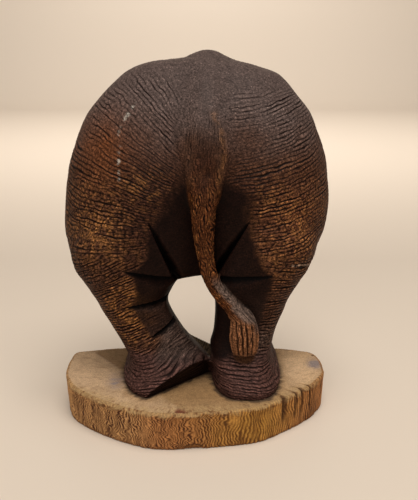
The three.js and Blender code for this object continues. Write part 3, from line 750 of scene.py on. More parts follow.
def body_tones(points, m, blotch, speckle):
    """Colours of rump and legs."""
    x, _, z = points.T
    # Greyer towards the top: painted sheen
    tone = mixed(BROWN, GREY_WOOD_AND_SHEEN, ease(128, 176, z + 16 * blotch))
    tone = mixed(tone, RED_BROWN, np.clip(patches(RED_PATCHES, x, z) * (0.8 + 0.6 * blotch), 0, 1))
    tone = mixed(tone, FOOT_PURPLE, m.feet)
    # Painted shade in soft patches over the rump and thighs
    shade = patches(SHADE_PATCHES, x, z) * (0.75 + 0.5 * blotch)
    tone = mixed(tone, SHADE_BROWN, np.clip(shade, 0, 0.88) * m.plain)
    worn = patches(WORN_PATCHES, x, z) * (1 - 0.75 * patch(x, z, (-31, 99), (13, 16)))
    worn = worn + patches(WORN_LOWER, x, z) + 2.4 * patch(x, z, (-40, 46), (11, 20)) * (1 - m.feet)
    worn = np.clip(worn, 0, 1) * ease(-0.3, 0.8, blotch * 0.5 + speckle + 0.1)
    tone = mixed(tone, WORN_GOLD, worn * 0.8)
    tone = mixed(tone, SHANK_GREY, m.shank * ease(46, 38, z) * 0.8)
    tone = mixed(tone, SHANK_GREY, patch(x, z, (38, 29), (12, 9)) * 0.8 * m.front)
    # Dark stain with painted shade between the thighs
    tone = mixed(tone, DARK_STAIN_AND_SHADE, m.stain * 0.9)
    low_zone = ease(54, 50, z) * (x < 4) + 0.7 * ease(64, 48, z) * ease(22, 33, x)
    return mixed(tone, SHANK_DARK, m.stain * np.clip(low_zone, 0, 1) * 0.85)


def root_tones(x, z, blotch, speckle):
    """Colours of the tail's broad root."""
    # Greyer towards the top: painted sheen
    tone = mixed(ROOT_BROWN, GREY_WOOD_AND_SHEEN, ease(146, 168, z + 8 * blotch))
    on_ridge = ease(3, 0.6, away_from(ROOT_RIDGE, x, z))
    tone = mixed(tone, WORN_GOLD, on_ridge * ease(-0.4, 0.5, speckle) * 0.32)
    # Painted shade in the hollow on the root
    return mixed(tone, SHADE_BROWN, np.clip(1.3 * patch(x, z, (7, 138), (6, 11)), 0, 0.9))


def tail_tones(x, z, m, speckle):
    """Colours of the tail, grey on its narrow neck above the tuft."""
    tone = mixed(TAIL_BROWN, WORN_GOLD, ease(0, 0.9, speckle) * 0.55)
    # Painted shade near the tail's root
    tone = mixed(tone, SHADE_BROWN, patch(x, z, (6.5, 131), (6, 12)) * 0.7)
    return mixed(tone, NECK_GREY, m.cone * 0.85)


def tuft_tones(x, z):
    """Colours of the tuft, grey on its right and darker at its end with painted shade."""
    tone = mixed(TUFT_GOLD, GREY_WOOD_AND_SHEEN, ease(35, 38, x) * ease(34, 42, z) * 0.8)
    return mixed(tone, SHADE_BROWN, ease(27, 23, z) * 0.7)


def skin_tones(points, normals, m, ridges):
    """Colours of the whole figure, lighter on ridges as wear and painted highlight, darker in grooves as
    painted shade.
    """
    x, d, z = points.T
    blotch = layered_noise(points, 16, 50)
    speckle = layered_noise(points, 2.4, 55, 2)
    tone = body_tones(points, m, blotch, speckle)
    tone = mixed(tone, root_tones(x, z, blotch, speckle), m.root * 0.9)
    tone = mixed(tone, tail_tones(x, z, m, speckle), m.tail)
    tone = mixed(tone, tuft_tones(x, z), m.tuft)
    # Painted shade in the grooves between the tuft's locks
    tone = mixed(tone, GROOVE_SHADE[:3], np.clip(m.locks * 1.4, 0, 0.97))
    # Lighter on ridges as wear and painted highlight, darker in grooves as painted shade
    tone = tone * np.clip(1 + 0.22 * speckle + 0.9 * ridges, 0.25, 2.2)[:, None]
    # Painted highlight on the crest, where the surface faces up and right
    up_right = normals[:, 2] + normals[:, 0]
    crest_highlight = ease(3, 0.5, away_from(CREST, x, z)) * ease(25, 35, d) * ease(0.05, 0.5, up_right)
    tone = mixed(tone, CREST_HIGHLIGHT, crest_highlight * 0.85 * ease(-0.8, 0.1, speckle))
    # Painted shadow in the knife cuts
    tone = mixed(tone, CUT_SHADOW_BLACK, m.in_cut * 0.97)
    # Bare wood on the web's upward faces, with painted shade
    shaded_web = ease(2, 0.4, web(x, d, z)) * ease(0.2, 0.6, normals[:, 2])
    shaded_web = shaded_web * ease(WEB_REACH + 2, WEB_REACH - 2, d) * ease(14, 8, np.abs(x - 3))
    tone = mixed(tone, SHADED_BARE_WOOD, shaded_web)
    # Painted shadow on the underside of the sole and on faces turned down
    below = under_sole(x, d, z)
    sole_shadow = np.maximum(ease(-0.35, -0.7, normals[:, 2]), ease(-1.2, -0.5, below) * ease(26, 20, d + x))
    sole_shadow = np.maximum(sole_shadow, ease(-0.9, -0.4, below) * ease(0.1, 0.35, normals[:, 0]) * (x < 10))
    tone = mixed(tone, GROOVE_SHADE[:3], sole_shadow * ease(30, 22, z) * 0.9)
    dotted = ease(-0.05, 0.35, layered_noise(points, 1.7, 58, 1))
    flecks = ease(0.85, 0.3, away_from(FLECKS, x, z) + 0.8 * speckle) * dotted * 0.75
    flecks = np.maximum(flecks, ease(0.8, 0.3, away_from(SCRATCH, x, z)) * 0.28) * m.front
    tone = mixed(tone, WHITE_FLECK, flecks * 0.85)
    tone = mixed(tone, SAWN_BACK, ease(0.5, 0.1, d))
    return np.clip(tone, 0.001, 1)


def stroke_contrast(points, m):
    """How strongly light and dark strokes alternate along the lines, from 0 to 1."""
    x, d, z = points.T
    worn = ease(140, 118, z) * ease(60, 75, z) + 0.7 * ease(75, 60, z)
    amount = 0.5 + 0.5 * np.clip(worn, 0, 1) - 0.25 * ease(158, 182, z)
    amount = amount * (1 - 0.8 * m.stain) * (1 - 0.4 * m.feet)
    amount = np.maximum(amount, 0.9 * m.tail * (1 - m.cone))
    amount = np.where(d < BACK_FACE, 0.45, amount)
    return amount * (1 - 0.6 * m.tuft) * (0.4 + 0.6 * ease(0.5, 3, np.abs(x - SPINE_X)))


def convexity(mesh, normals):
    """How far each vertex stands out from its neighbours, above 0 on ridges and below 0 in grooves."""
    edges = np.empty(len(mesh.edges) * 2, np.int32)
    mesh.edges.foreach_get("vertices", edges)
    a, b = edges.reshape(-1, 2).T
    places = vertex_array(mesh, "co") / MM
    count = np.bincount(a, minlength=len(places)) + np.bincount(b, minlength=len(places))

    def mean_of_neighbours(values):
        return (np.bincount(a, values[b], len(places)) + np.bincount(b, values[a], len(places))) / count
    around = np.stack([mean_of_neighbours(places[:, k]) for k in range(3)], 1)
    stands = ((places - around) * normals).sum(1)
    return 0.5 * stands + 0.5 * mean_of_neighbours(stands)


def to_row(points):
    """Points of the figure in the row frame, in metres."""
    x, d, z = points.T
    return np.stack([FIGURE_X + x, FIGURE_BACK - d, FIGURE_SOLES + z], 1) * MM


def to_figure(places):
    x, y, z = np.asarray(places).T / MM
    return np.stack([x - FIGURE_X, FIGURE_BACK - y, z - FIGURE_SOLES], 1).astype(np.float32)


def new_object(name, places, faces):
    mesh = bpy.data.meshes.new(name)
    mesh.from_pydata(places.tolist(), [], faces)
    mesh.update()
    made = bpy.data.objects.new(name, mesh)
    bpy.context.collection.objects.link(made)
    return made


def vertex_array(mesh, what, width=3):
    values = np.empty(len(mesh.vertices) * width, np.float32)
    mesh.vertices.foreach_get(what, values)
    return values.reshape(-1, width)


def set_tones(mesh, tones):
    layer = mesh.attributes.new("tone", "FLOAT_COLOR", "POINT")
    opaque = np.column_stack([tones, np.ones(len(tones))])
    layer.data.foreach_set("color", opaque.astype(np.float32).ravel())


def set_vectors(mesh, name, *numbers):
    layer = mesh.attributes.new(name, "FLOAT_VECTOR", "POINT")
    layer.data.foreach_set("vector", np.stack(numbers, 1).astype(np.float32).ravel())


def shade_smooth(mesh):
    mesh.polygons.foreach_set("use_smooth", np.ones(len(mesh.polygons), bool))
    mesh.set_sharp_from_angle(angle=radians(SMOOTH_ANGLE))


def figure_points():
    """Points and quads on the smooth figure, with their normals."""
    low = np.array(FIELD_LOW) - FIELD_MARGIN
    high = np.array(FIELD_HIGH) + FIELD_MARGIN
    axes = [np.arange(a, b, CELL, dtype=np.float32) for a, b in zip(low, high)]
    points, quads = surface_net(axes, CELL)
    slope = steepness(points, CELL / 4)
    steepest = np.maximum((slope ** 2).sum(1), 0.05)
    move = np.clip(-field_at(points) / steepest, -CELL / 2, CELL / 2)
    points = points + move[:, None] * slope
    points[:, 1:] = np.maximum(points[:, 1:], 0)
    return points, quads, slope / np.maximum(np.linalg.norm(slope, axis=1), 1e-6)[:, None]


def make_figure():
    points, quads, normals = figure_points()
    points = points + skin(points, normals).relief[:, None] * normals
    figure = new_object("carved_elephant_hindquarters", to_row(points), quads.tolist())
    thinner = figure.modifiers.new("thinner", "DECIMATE")
    thinner.ratio = min(1, SKIN_TRIANGLES / (2 * len(quads)))
    shown = figure.evaluated_get(bpy.context.evaluated_depsgraph_get())
    mesh = bpy.data.meshes.new_from_object(shown)
    figure.modifiers.clear()
    figure.data = mesh
    shade_smooth(mesh)

    points = to_figure(vertex_array(mesh, "co"))
    row_normals = vertex_array(mesh, "normal")
    normals = row_normals * np.array((1, -1, 1), np.float32)
    marks = skin(points, normals)
    ridges = np.clip(convexity(mesh, row_normals) * 4, -0.8, 0.8)
    set_tones(mesh, skin_tones(points, normals, marks, ridges))
    set_vectors(mesh, "strokes", marks.across, marks.along, stroke_contrast(points, marks))
    for name, (phase, amount) in marks.lines.items():
        set_vectors(mesh, name, phase, amount, marks.stain)
    return figure


def node_maker(material):
    """A function that adds a node, with each input a value or another node's output."""
    material.use_nodes = True
    tree = material.node_tree
    tree.nodes.clear()

    def add(kind, inputs=(), **settings):
        node = tree.nodes.new("ShaderNode" + kind)
        for name, value in settings.items():
            setattr(node, name, value)
        for name, value in dict(inputs).items():
            if isinstance(value, bpy.types.NodeSocket):
                tree.links.new(value, node.inputs[name])
            else:
                node.inputs[name].default_value = value
        return node
    return add


def math_node(add, operation, *values, clamp=False):
    return add("Math", enumerate(values), operation=operation, use_clamp=clamp).outputs[0]


def range_node(add, value, low, high, to_low, to_high):
    ends = {"From Min": low, "From Max": high, "To Min": to_low, "To Max": to_high}
    return add("MapRange", {"Value": value, **ends}).outputs[0]


def noise_node(add, place, scale, detail):
    return add("TexNoise", {"Vector": place, "Scale": scale, "Detail": detail}).outputs["Fac"]


def scale_node(add, colour, share):
    return add("VectorMath", {0: colour, "Scale": share}, operation="SCALE").outputs[0]


def parts_of(add, name):
    """The three numbers of a vector attribute."""
    vector = add("Attribute", attribute_name=name).outputs["Vector"]
    return add("SeparateXYZ", {0: vector}).outputs


# Painted highlight on the lip beside a groove: how far from its edge and half its width, as shares of the
# spacing, then its strength and the strength of the painted shade in the groove
LIP_PLACE = 0.06
LIP_HALF_WIDTH = 0.07
LIP_LIGHT = 0.95
GROOVE_DARK = 2.3
# Noise sizes per metre, and dashes of the strokes across and along the lines
GRAIN_SCALE = 1200.0
PIT_SCALE = 1250.0
DASHES_ACROSS = 2.1
DASHES_ALONG = 0.42


def line_nodes(add, name, width):
    """Groove of one set of lines, 1 at its bottom, and the painted highlight on its lip."""
    phase, amount, _ = parts_of(add, name)
    aside = math_node(add, "SUBTRACT", math_node(add, "FRACT", phase), 0.5)
    near = math_node(add, "ABSOLUTE", aside)
    share = math_node(add, "DIVIDE", near, width / 2)
    deep = math_node(add, "SUBTRACT", amount, share, clamp=True)
    edge = math_node(add, "COMPARE", near, width / 2 + LIP_PLACE, LIP_HALF_WIDTH)
    return deep, math_node(add, "MULTIPLY", edge, amount)


def stained_wood():
    material = bpy.data.materials.new("stained_wood")
    add = node_maker(material)
    tone = add("Attribute", attribute_name="tone").outputs["Color"]
    place = add("TexCoord").outputs["Object"]
    deepest, lip_highlight = 0.0, 0.0
    for name, width in LINE_WIDTHS.items():
        deep, highlight = line_nodes(add, name, width)
        deepest = math_node(add, "MAXIMUM", deepest, deep)
        lip_highlight = math_node(add, "MAXIMUM", lip_highlight, highlight)
    grain = noise_node(add, place, GRAIN_SCALE, 2.0)
    pits = noise_node(add, place, PIT_SCALE, 1.0)
    across, along, contrast = parts_of(add, "strokes")
    across = math_node(add, "MULTIPLY", across, DASHES_ACROSS)
    along = math_node(add, "MULTIPLY", along, DASHES_ALONG)
    dashes = noise_node(add, add("CombineXYZ", {0: across, 1: along}).outputs[0], 1.0, 2.0)
    stroke = range_node(add, dashes, 0.36, 0.64, -0.85, 1.2)
    stroke = math_node(add, "MULTIPLY_ADD", stroke, contrast, 1.0)
    light = math_node(add, "MULTIPLY", range_node(add, grain, 0.34, 0.66, 0.6, 1.4), stroke)
    # Painted highlight on the grooves' lips
    lit_lip = math_node(add, "MULTIPLY_ADD", lip_highlight, LIP_LIGHT, 1.0)
    shaded = scale_node(add, tone, math_node(add, "MULTIPLY", light, lit_lip))
    # Painted glints where the pit noise is high, dark pits where it is low
    glints = range_node(add, pits, 0.64, 0.74, 1.0, 2.2)
    holes = range_node(add, pits, 0.28, 0.38, 0.35, 1.0)
    dotted = scale_node(add, shaded, math_node(add, "MULTIPLY", glints, holes))
    # Painted shade darkens the grooves
    dark = math_node(add, "MULTIPLY", deepest, GROOVE_DARK, clamp=True)
    colour = add("Mix", {0: dark, 6: dotted, 7: GROOVE_SHADE}, data_type="RGBA").outputs[2]
    height = math_node(add, "SUBTRACT", math_node(add, "MULTIPLY", grain, 0.45), deepest)
    bump = add("Bump", {"Strength": 0.7, "Distance": 0.0005, "Height": height}).outputs["Normal"]
    rough = range_node(add, grain, 0.0, 1.0, 0.42, 0.7)
    shader = add("BsdfPrincipled", {
        "Base Color": colour, "Roughness": rough, "Normal": bump, "IOR": 1.25, "Specular IOR Level": 0.2,
    })
    add("OutputMaterial", {"Surface": shader.outputs[0]})
    return material


# Slab of log, in mm: outline as shares of its width and depth, round from the flat back's left end
SLAB_OUTLINE = [
    (-0.43, 0.055), (-0.3, 0.006), (0, 0), (0.3, 0.006), (0.41, 0.045), (0.475, 0.1), (0.495, 0.2),
    (0.5, 0.33), (0.496, 0.42), (0.452, 0.575), (0.396, 0.685), (0.327, 0.79), (0.235, 0.91),
    (0.09, 0.97), (0, 0.99),
    (-0.08, 1), (-0.17, 0.98), (-0.255, 0.91), (-0.35, 0.8), (-0.425, 0.685), (-0.458, 0.615),
    (-0.49, 0.47), (-0.5, 0.35), (-0.5, 0.18), (-0.488, 0.09),
]
SLAB_WIDTH = (slab_high[0] - slab_low[0]) / MM
SLAB_DEPTH = (slab_high[1] - slab_low[1]) / MM
SLAB_THICKNESS = slab_high[2] / MM
SLAB_EDGE = 0.8
SLAB_TAPER = 0.8
SLAB_COLUMNS = 1100
SLAB_LEVEL_STEP = 0.6
SLAB_TOP_RINGS = 30
OUTLINE_STEPS = 24
TOP_DIP = 0.16
CHIP_DEPTH = 0.9
# Drying checks of the side: share of the way round the outline, depth and half width
CHECKS = [(0.376, 1.6, 1.8), (0.398, 2.2, 2.2), (0.414, 1.4, 1.6), (0.44, 2.4, 2.6)]
CHECK_FOOT = 6
CHIP_PLACE = 0.56
CHIP_WIDTH = 13
CHIP_HEIGHT = 3.2
STROKE = 1.9


def slab_outline():
    """Even points round the slab as x and d, with each one's share of the way round the drawn outline."""
    drawn = np.array(SLAB_OUTLINE) * (SLAB_WIDTH, SLAB_DEPTH)
    pieces = []
    shares = []
    u = (np.arange(OUTLINE_STEPS) / OUTLINE_STEPS)[:, None]
    for i in range(len(drawn)):
        p0, p1, p2, p3 = (drawn[(i + k) % len(drawn)] for k in (-1, 0, 1, 2))
        t0, t1, t2 = (np.sqrt(np.linalg.norm(b - a)) for a, b in ((p0, p1), (p1, p2), (p2, p3)))
        m1 = ((p1 - p0) / t0 - (p2 - p0) / (t0 + t1) + (p2 - p1) / t1) * t1
        m2 = ((p2 - p1) / t1 - (p3 - p1) / (t1 + t2) + (p3 - p2) / t2) * t1
        rise = u * u * (3 - 2 * u)
        pieces.append(p1 + (p2 - p1) * rise + u * (1 - u) ** 2 * m1 + u * u * (u - 1) * m2)
        shares.append((i + u[:, 0]) / len(drawn))
    points = np.concatenate(pieces)
    low, high = points.min(0), points.max(0)
    points = (points - (low + high) / 2) * ((SLAB_WIDTH, SLAB_DEPTH) / (high - low)) + (0, SLAB_DEPTH / 2)
    ring = np.concatenate([points, points[:1]])
    shares = np.append(np.concatenate(shares), 1)
    arc = np.append(0, np.cumsum(np.linalg.norm(np.diff(ring, axis=0), axis=1)))
    even = np.arange(SLAB_COLUMNS) / SLAB_COLUMNS * arc[-1]
    columns = [np.interp(even, arc, values) for values in (ring[:, 0], ring[:, 1], shares)]
    return np.stack(columns[:2], 1), columns[2], even, arc[-1]


def round_noise(arc, whole, size, z, z_size, seed):
    """Noise that closes on itself round the slab."""
    angle = arc / whole * 2 * pi
    radius = whole / size / (2 * pi)
    return value_noise(radius * np.cos(angle) + 50, radius * np.sin(angle) + 50, z / z_size, seed)


def slab_side(ring, arc, whole, share, z):
    """How far in the side lies in mm, its strokes from -1 to 1, deep marks, front share and roughness."""
    straight = ease(-15, 45, ring[:, 0])
    front = ease(38, 60, ring[:, 1])
    zigzag = round_noise(arc, whole, 6, z, 2.4, 61) + 0.5 * round_noise(arc, whole, 3, z, 1.3, 64)
    phase = arc / whole * round(whole / STROKE) + (1.25 - straight) * zigzag
    phase = phase + 1.3 * round_noise(arc, whole, 9, z, 9, 67)
    stroke = np.sin(2 * pi * phase) * np.clip(0.7 + 0.7 * round_noise(arc, whole, 4, z, 5, 70), 0.1, 1)
    streak = round_noise(arc, whole, 2.6, z, 16, 103) + 0.6 * round_noise(arc, whole, 9, z, 30, 106)
    stroke = np.clip(1.5 * stroke + 0.5 * round_noise(arc, whole, 0.9, z, 3, 73) + 0.7 * streak, -1, 1)
    inward = 0.18 - 0.18 * stroke + 0.35 * np.clip(-round_noise(arc, whole, 3.4, z, 40, 76), 0, 1)
    marks = 0
    for place, depth, half in CHECKS:
        away = np.abs(share - place) * whole + 0.5 * round_noise(arc, whole, 6, z, 5, 79)
        wedge = np.clip(1 - away / half, 0, 1) * ease(CHECK_FOOT - 2, CHECK_FOOT + 6, z)
        inward = inward + depth * wedge
        marks = np.maximum(marks, wedge)
    beside = np.abs(share - CHIP_PLACE) * whole
    ceiling = CHIP_HEIGHT - 1.4 * (beside / CHIP_WIDTH * 2) ** 2 + 0.3 * stroke
    chip = ease(CHIP_WIDTH * 0.55, CHIP_WIDTH * 0.45, beside) * (z < ceiling)
    inward = inward + CHIP_DEPTH * chip
    marks = np.maximum(marks, ease(0.9, 0.2, np.abs(z - ceiling)) * (beside < CHIP_WIDTH * 0.52))
    stroke = stroke * (1 - 0.7 * chip)
    rough = round_noise(arc, whole, 5, z, 3, 82) + 0.6 * round_noise(arc, whole, 1.6, z, 1.2, 85)
    edge = SLAB_EDGE + front * (1.3 + 0.7 * rough)
    inward = inward + edge - np.sqrt(edge ** 2 - np.clip(edge - SLAB_THICKNESS + z, 0, edge) ** 2)
    under = SLAB_EDGE * (1 + 0.4 * rough)
    inward = inward + under - np.sqrt(under ** 2 - np.clip(under - z, 0, under) ** 2)
    return inward, stroke, marks, front, rough


# Colours of the bare slab, linear
SLAB_TAN = (0.56, 0.375, 0.225)
SLAB_DARKER = (0.29, 0.165, 0.07)
SLAB_OLIVE = (0.36, 0.235, 0.115)
SLAB_PALE = (0.67, 0.45, 0.265)
RIM_OLIVE = (0.4, 0.255, 0.115)
SIDE_PALE = (0.52, 0.22, 0.075)
SIDE_LEFT = (0.62, 0.33, 0.13)
SIDE_GOLD = (0.58, 0.29, 0.055)
SIDE_RED = (0.125, 0.04, 0.0115)
SIDE_DEEP = (0.075, 0.022, 0.006)
SIDE_OLIVE = (0.15, 0.058, 0.009)
SIDE_DARK = (0.07, 0.028, 0.011)
SMEAR = (0.22, 0.18, 0.185)
# Painted contact shadow round the feet
FOOT_SHADOW = (0.035, 0.02, 0.015)
CHIP_RED = (0.14, 0.04, 0.018)

# Places on the slab's top as x and d: edge of a darker region and its slope, nick, red chip and knot
DARKER_EDGE = (-69.4, 7.8)
DARKER_SLOPE = 1.142
NICK = (-69.6, 2)
RED_CHIP = (-7.6, 80.5)
KNOT = (81, 12.3)
SMEARS = [(1, (-48.6, 46), (5, 9)), (1.6, (80, 24), (4, 6))]


def top_tones(places, rim):
    """Colours of the slab's top; rim is 1 at its rough front edge."""
    x, d, _ = places.T
    blotch = layered_noise(places, 14, 88)
    fine = layered_noise(places, 2.5, 91, 2)
    ring_places = np.hypot(x - 4, (d + 6) * 1.05) / 0.62
    rings = 0.5 + 0.5 * np.sin(ring_places + 2.2 * layered_noise(places, 20, 94))
    beyond = (d - DARKER_EDGE[1]) - (x - DARKER_EDGE[0]) * DARKER_SLOPE
    tones = mixed(SLAB_TAN, SLAB_DARKER, ease(1.5, -1.5, beyond) * ease(-72, -66, x) * 0.75)
    tones = mixed(tones, SLAB_OLIVE, ease(-0.1, 0.6, blotch) * 0.4)
    tones = mixed(tones, SLAB_PALE, patch(x, d, (66, 30), (22, 26)))
    tones = mixed(tones, SLAB_DARKER, patch(x, d, (2, 62), (36, 20)) * 0.9)
    tones = tones * (0.95 + 0.08 * rings + 0.16 * fine)[:, None]
    edge = ease(1.2, 0.3, np.abs(beyond) / np.hypot(1, DARKER_SLOPE))
    tones = mixed(tones, SIDE_RED, edge * 0.4 * ease(-73, -66, x) * ease(-35, -45, x))
    rim = rim * (0.7 + 0.5 * fine)
    tones = mixed(tones, RIM_OLIVE, np.clip(0.75 * rim, 0, 0.75))
    speck = ease(0.15, 0.6, layered_noise(places, 1.7, 97, 2))
    tones = mixed(tones, SIDE_RED, np.clip(rim, 0, 1) * speck * 0.8)
    pores = ease(0.35, 0.75, layered_noise(places, 1.3, 109, 1)) * ease(-0.2, 0.5, blotch + 0.3)
    tones = mixed(tones, SIDE_RED, pores * 0.3)
    tones = mixed(tones, SMEAR, np.clip(patches(SMEARS, x, d) * (0.8 + 0.9 * fine), 0, 0.85))
    tones = mixed(tones, SIDE_DARK, ease(1.3, 0.5, np.hypot(x - KNOT[0], d - KNOT[1])))
    # Painted shadow on the slab round the feet: a soft halo and a dark contact line
    near_foot = field_at(np.stack([x, d, np.full(len(x), 0.3)], 1).astype(np.float32))
    tones = mixed(tones, SLAB_DARKER, ease(7, 1, near_foot + 2 * fine) * 0.5)
    tones = mixed(tones, FOOT_SHADOW, ease(1.9, 0.3, near_foot + 1.3 * fine) * 0.85)
    from_chip = np.hypot((x - RED_CHIP[0]) / 5.2, (d - RED_CHIP[1] + 0.2) / 2)
    return mixed(tones, CHIP_RED, ease(1, 0.5, from_chip + 0.3 * fine) * 0.95)


def side_tones(places, stroke, marks, front, rough):
    """Colours of the slab's side, light and dark along its strokes, dark in its deep marks."""
    x, _, z = places.T
    blotch = layered_noise(places, 14, 88)
    fine = layered_noise(places, 2.2, 91, 2)
    golden = np.clip(patch(x, z, (34, 10), (30, 30)) * (0.9 + 0.5 * blotch), 0, 1)
    light = mixed(mixed(SIDE_PALE, SIDE_LEFT, ease(-15, -42, x)), SIDE_GOLD, golden)
    dark = mixed(SIDE_DEEP, SIDE_OLIVE, golden)
    tones = mixed(light, dark, 0.5 - 0.5 * stroke)
    tones = mixed(tones, SIDE_RED, ease(0.1, 0.6, blotch) * 0.35)
    by_rim = ease(SLAB_THICKNESS - 3.8, SLAB_THICKNESS - 1.6, z + 1.6 * rough)
    tones = mixed(tones, RIM_OLIVE, by_rim * (0.3 + 0.45 * front))
    speck = ease(0.15, 0.6, layered_noise(places, 1.7, 97, 2))
    tones = mixed(tones, SIDE_RED, speck * ease(SLAB_THICKNESS - 6, SLAB_THICKNESS - 3, z) * 0.8)
    tones = mixed(tones, SIDE_DARK, np.clip(1.2 * marks, 0, 0.85))
    tones = mixed(tones, SIDE_RED, ease(2.5, 0.3, z + 0.8 * rough) * 0.6)
    return tones * (1 + 0.18 * fine)[:, None]


def slab_rows(ring, share, arc, whole, middle):
    """Rings of points up the side and in over the top, with their colours."""
    along = np.roll(ring, -1, axis=0) - np.roll(ring, 1, axis=0)
    inward = np.stack([-along[:, 1], along[:, 0]], 1) / np.linalg.norm(along, axis=1)[:, None]
    if ((middle - ring) * inward).sum() < 0:
        inward = -inward
    side_levels = np.arange(1, SLAB_THICKNESS - 2.4, SLAB_LEVEL_STEP)
    rim_levels = np.arange(SLAB_THICKNESS - 2.2, SLAB_THICKNESS + 0.1, 0.3)
    levels = np.concatenate([(0, 0.2, 0.5), side_levels, rim_levels])
    levels[-1] = SLAB_THICKNESS
    rows = []
    tones = []
    for z in levels:
        height = np.full(len(arc), z)
        relief, stroke, marks, front, rough = slab_side(ring, arc, whole, share, height)
        inset = relief + SLAB_TAPER * (1 - z / SLAB_THICKNESS)
        fall = front * (0.9 + 0.5 * rough)
        height = height - fall * ease(SLAB_THICKNESS - 6, SLAB_THICKNESS, z)
        row = np.column_stack([ring + inward * inset[:, None], height])
        rows.append(row)
        tones.append(side_tones(row, stroke, marks, front, rough))
    rim = rows[-1]
    reach = np.linalg.norm(rim[:, :2] - middle, axis=1)
    for shrink in 1 - np.linspace(0, 1, SLAB_TOP_RINGS + 1)[1:-1] ** 1.3:
        row = rim.copy()
        row[:, :2] = middle + (rim[:, :2] - middle) * shrink
        from_rim = reach * (1 - shrink)
        row[:, 2] = SLAB_THICKNESS - fall * ease(6, 0, from_rim)
        row[:, 2] -= TOP_DIP - TOP_DIP * layered_noise(row, 5, 100)
        x, d = row[:, 0], row[:, 1]
        nick = ease(3.2, 1, np.hypot(x - NICK[0], (d - NICK[1]) * 0.8))
        chip = ease(1, 0.3, np.hypot((x - RED_CHIP[0]) / 6, (d - RED_CHIP[1]) / 2.4))
        row[:, 2] -= 1.2 * nick + 0.9 * chip
        rows.append(row)
        tones.append(top_tones(row, front * ease(8, 1.5, from_rim + 2 * rough)))
    return rows, tones


def make_slab():
    ring, share, arc, whole = slab_outline()
    middle = np.array((0, SLAB_DEPTH / 2))
    rows, tones = slab_rows(ring, share, arc, whole, middle)
    count = len(arc)
    here = np.arange(count)
    beside = (here + 1) % count
    faces = []
    for first in range(0, (len(rows) - 1) * count, count):
        corners = [here, beside, beside + count, here + count]
        faces += (np.stack(corners, 1) + first).tolist()
    last = (len(rows) - 1) * count
    top_centre = last + count
    bottom_centre = top_centre + 1
    for i, j in zip(here.tolist(), beside.tolist()):
        faces.append((last + i, last + j, top_centre))
        faces.append((j, i, bottom_centre))
    places = np.concatenate([*rows, [(*middle, SLAB_THICKNESS - TOP_DIP), (*middle, 0)]])
    tones = np.concatenate([*tones, tones[-1][:1], tones[0][:1]])
    x, d, z = places.T
    slab = new_object("half_round_log_slab", np.stack([FIGURE_X + x, FIGURE_BACK - d, z], 1) * MM, faces)
    mesh = slab.data
    if sum(face.center.z * face.normal.z * face.area for face in mesh.polygons) < 0:
        mesh.flip_normals()
    shade_smooth(mesh)
    set_tones(mesh, np.clip(tones, 0.01, 1))
    return slab


def bare_wood():
    material = bpy.data.materials.new("bare_wood")
    add = node_maker(material)
    tone = add("Attribute", attribute_name="tone").outputs["Color"]
    pores = noise_node(add, add("TexCoord").outputs["Object"], GRAIN_SCALE, 3.0)
    shaded = scale_node(add, tone, range_node(add, pores, 0.32, 0.68, 0.78, 1.2))
    bump = add("Bump", {"Strength": 0.5, "Distance": 0.0004, "Height": pores}).outputs["Normal"]
    shader = add("BsdfPrincipled", {
        "Base Color": shaded, "Normal": bump, "Roughness": 0.8, "Specular IOR Level": 0.2,
    })
    add("OutputMaterial", {"Surface": shader.outputs[0]})
    return material


figure = make_figure()
figure.data.materials.append(stained_wood())
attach(figure, "root")
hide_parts("elephant_hindquarters")

slab = make_slab()
slab.data.materials.append(bare_wood())
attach(slab, "root")
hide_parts("log_slab")

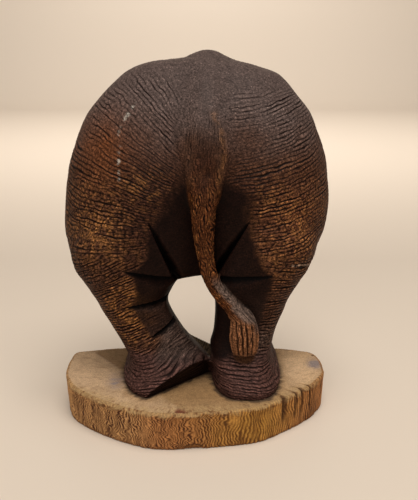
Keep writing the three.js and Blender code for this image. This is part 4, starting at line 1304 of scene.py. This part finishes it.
# Plain pale floor that curves up behind, in metres
FLOOR_COLOUR = (0.72, 0.62, 0.52, 1)
FLOOR_REACH = 2.5
FLOOR_HALF_WIDTH = 5
SWEEP = 0.8
SWEEP_POINTS = 16
BACKDROP_TOP = 4


def make_floor():
    turns = np.linspace(0, pi / 2, SWEEP_POINTS)
    back = [(FLOOR_REACH + SWEEP * np.sin(t), SWEEP * (1 - np.cos(t))) for t in turns]
    line = [(-FLOOR_REACH, 0)] + back + [(FLOOR_REACH + SWEEP, BACKDROP_TOP)]
    places = np.array([(side * FLOOR_HALF_WIDTH, y, z) for y, z in line for side in (-1, 1)])
    faces = [(2 * i, 2 * i + 1, 2 * i + 3, 2 * i + 2) for i in range(len(line) - 1)]
    floor = new_object("floor", places, faces)
    floor.data.polygons.foreach_set("use_smooth", np.ones(len(faces), bool))
    material = bpy.data.materials.new("floor")
    add = node_maker(material)
    shader = add("BsdfPrincipled", {"Base Color": FLOOR_COLOUR, "Roughness": 0.5})
    add("OutputMaterial", {"Surface": shader.outputs[0]})
    floor.data.materials.append(material)


make_floor()

# Area lights: name, place, what it aims at, size, power and colour
LIGHTS = [
    ("overhead", (0.15, -0.3, 1.5), (0, 0, 0.1), 1.0, 20, (1, 0.96, 0.9)),
    ("front_fill", (-0.5, -1.5, 0.9), (0, 0, 0.1), 0.8, 4.5, (1, 0.95, 0.88)),
    ("backdrop_wash", (0, 0.9, 1.7), (0, 3.2, 0.9), 1.6, 55, (1, 0.96, 0.9)),
]
WORLD_COLOUR = (1, 0.95, 0.88, 1)
WORLD_STRENGTH = 0.24


def area_light(name, place, aim, size, power, colour):
    data = bpy.data.lights.new(name, "AREA")
    data.size = size
    data.energy = power
    data.color = colour
    light = bpy.data.objects.new(name, data)
    light.location = place
    x, y, z = np.subtract(aim, place)
    light.rotation_euler = (np.arctan2(np.hypot(x, y), -z), 0, np.arctan2(y, x) - pi / 2)
    bpy.context.collection.objects.link(light)


for light in LIGHTS:
    area_light(*light)

world = bpy.data.worlds.new("world")
bpy.context.scene.world = world
world.use_nodes = True
background = world.node_tree.nodes["Background"]
background.inputs["Color"].default_value = WORLD_COLOUR
background.inputs["Strength"].default_value = WORLD_STRENGTH
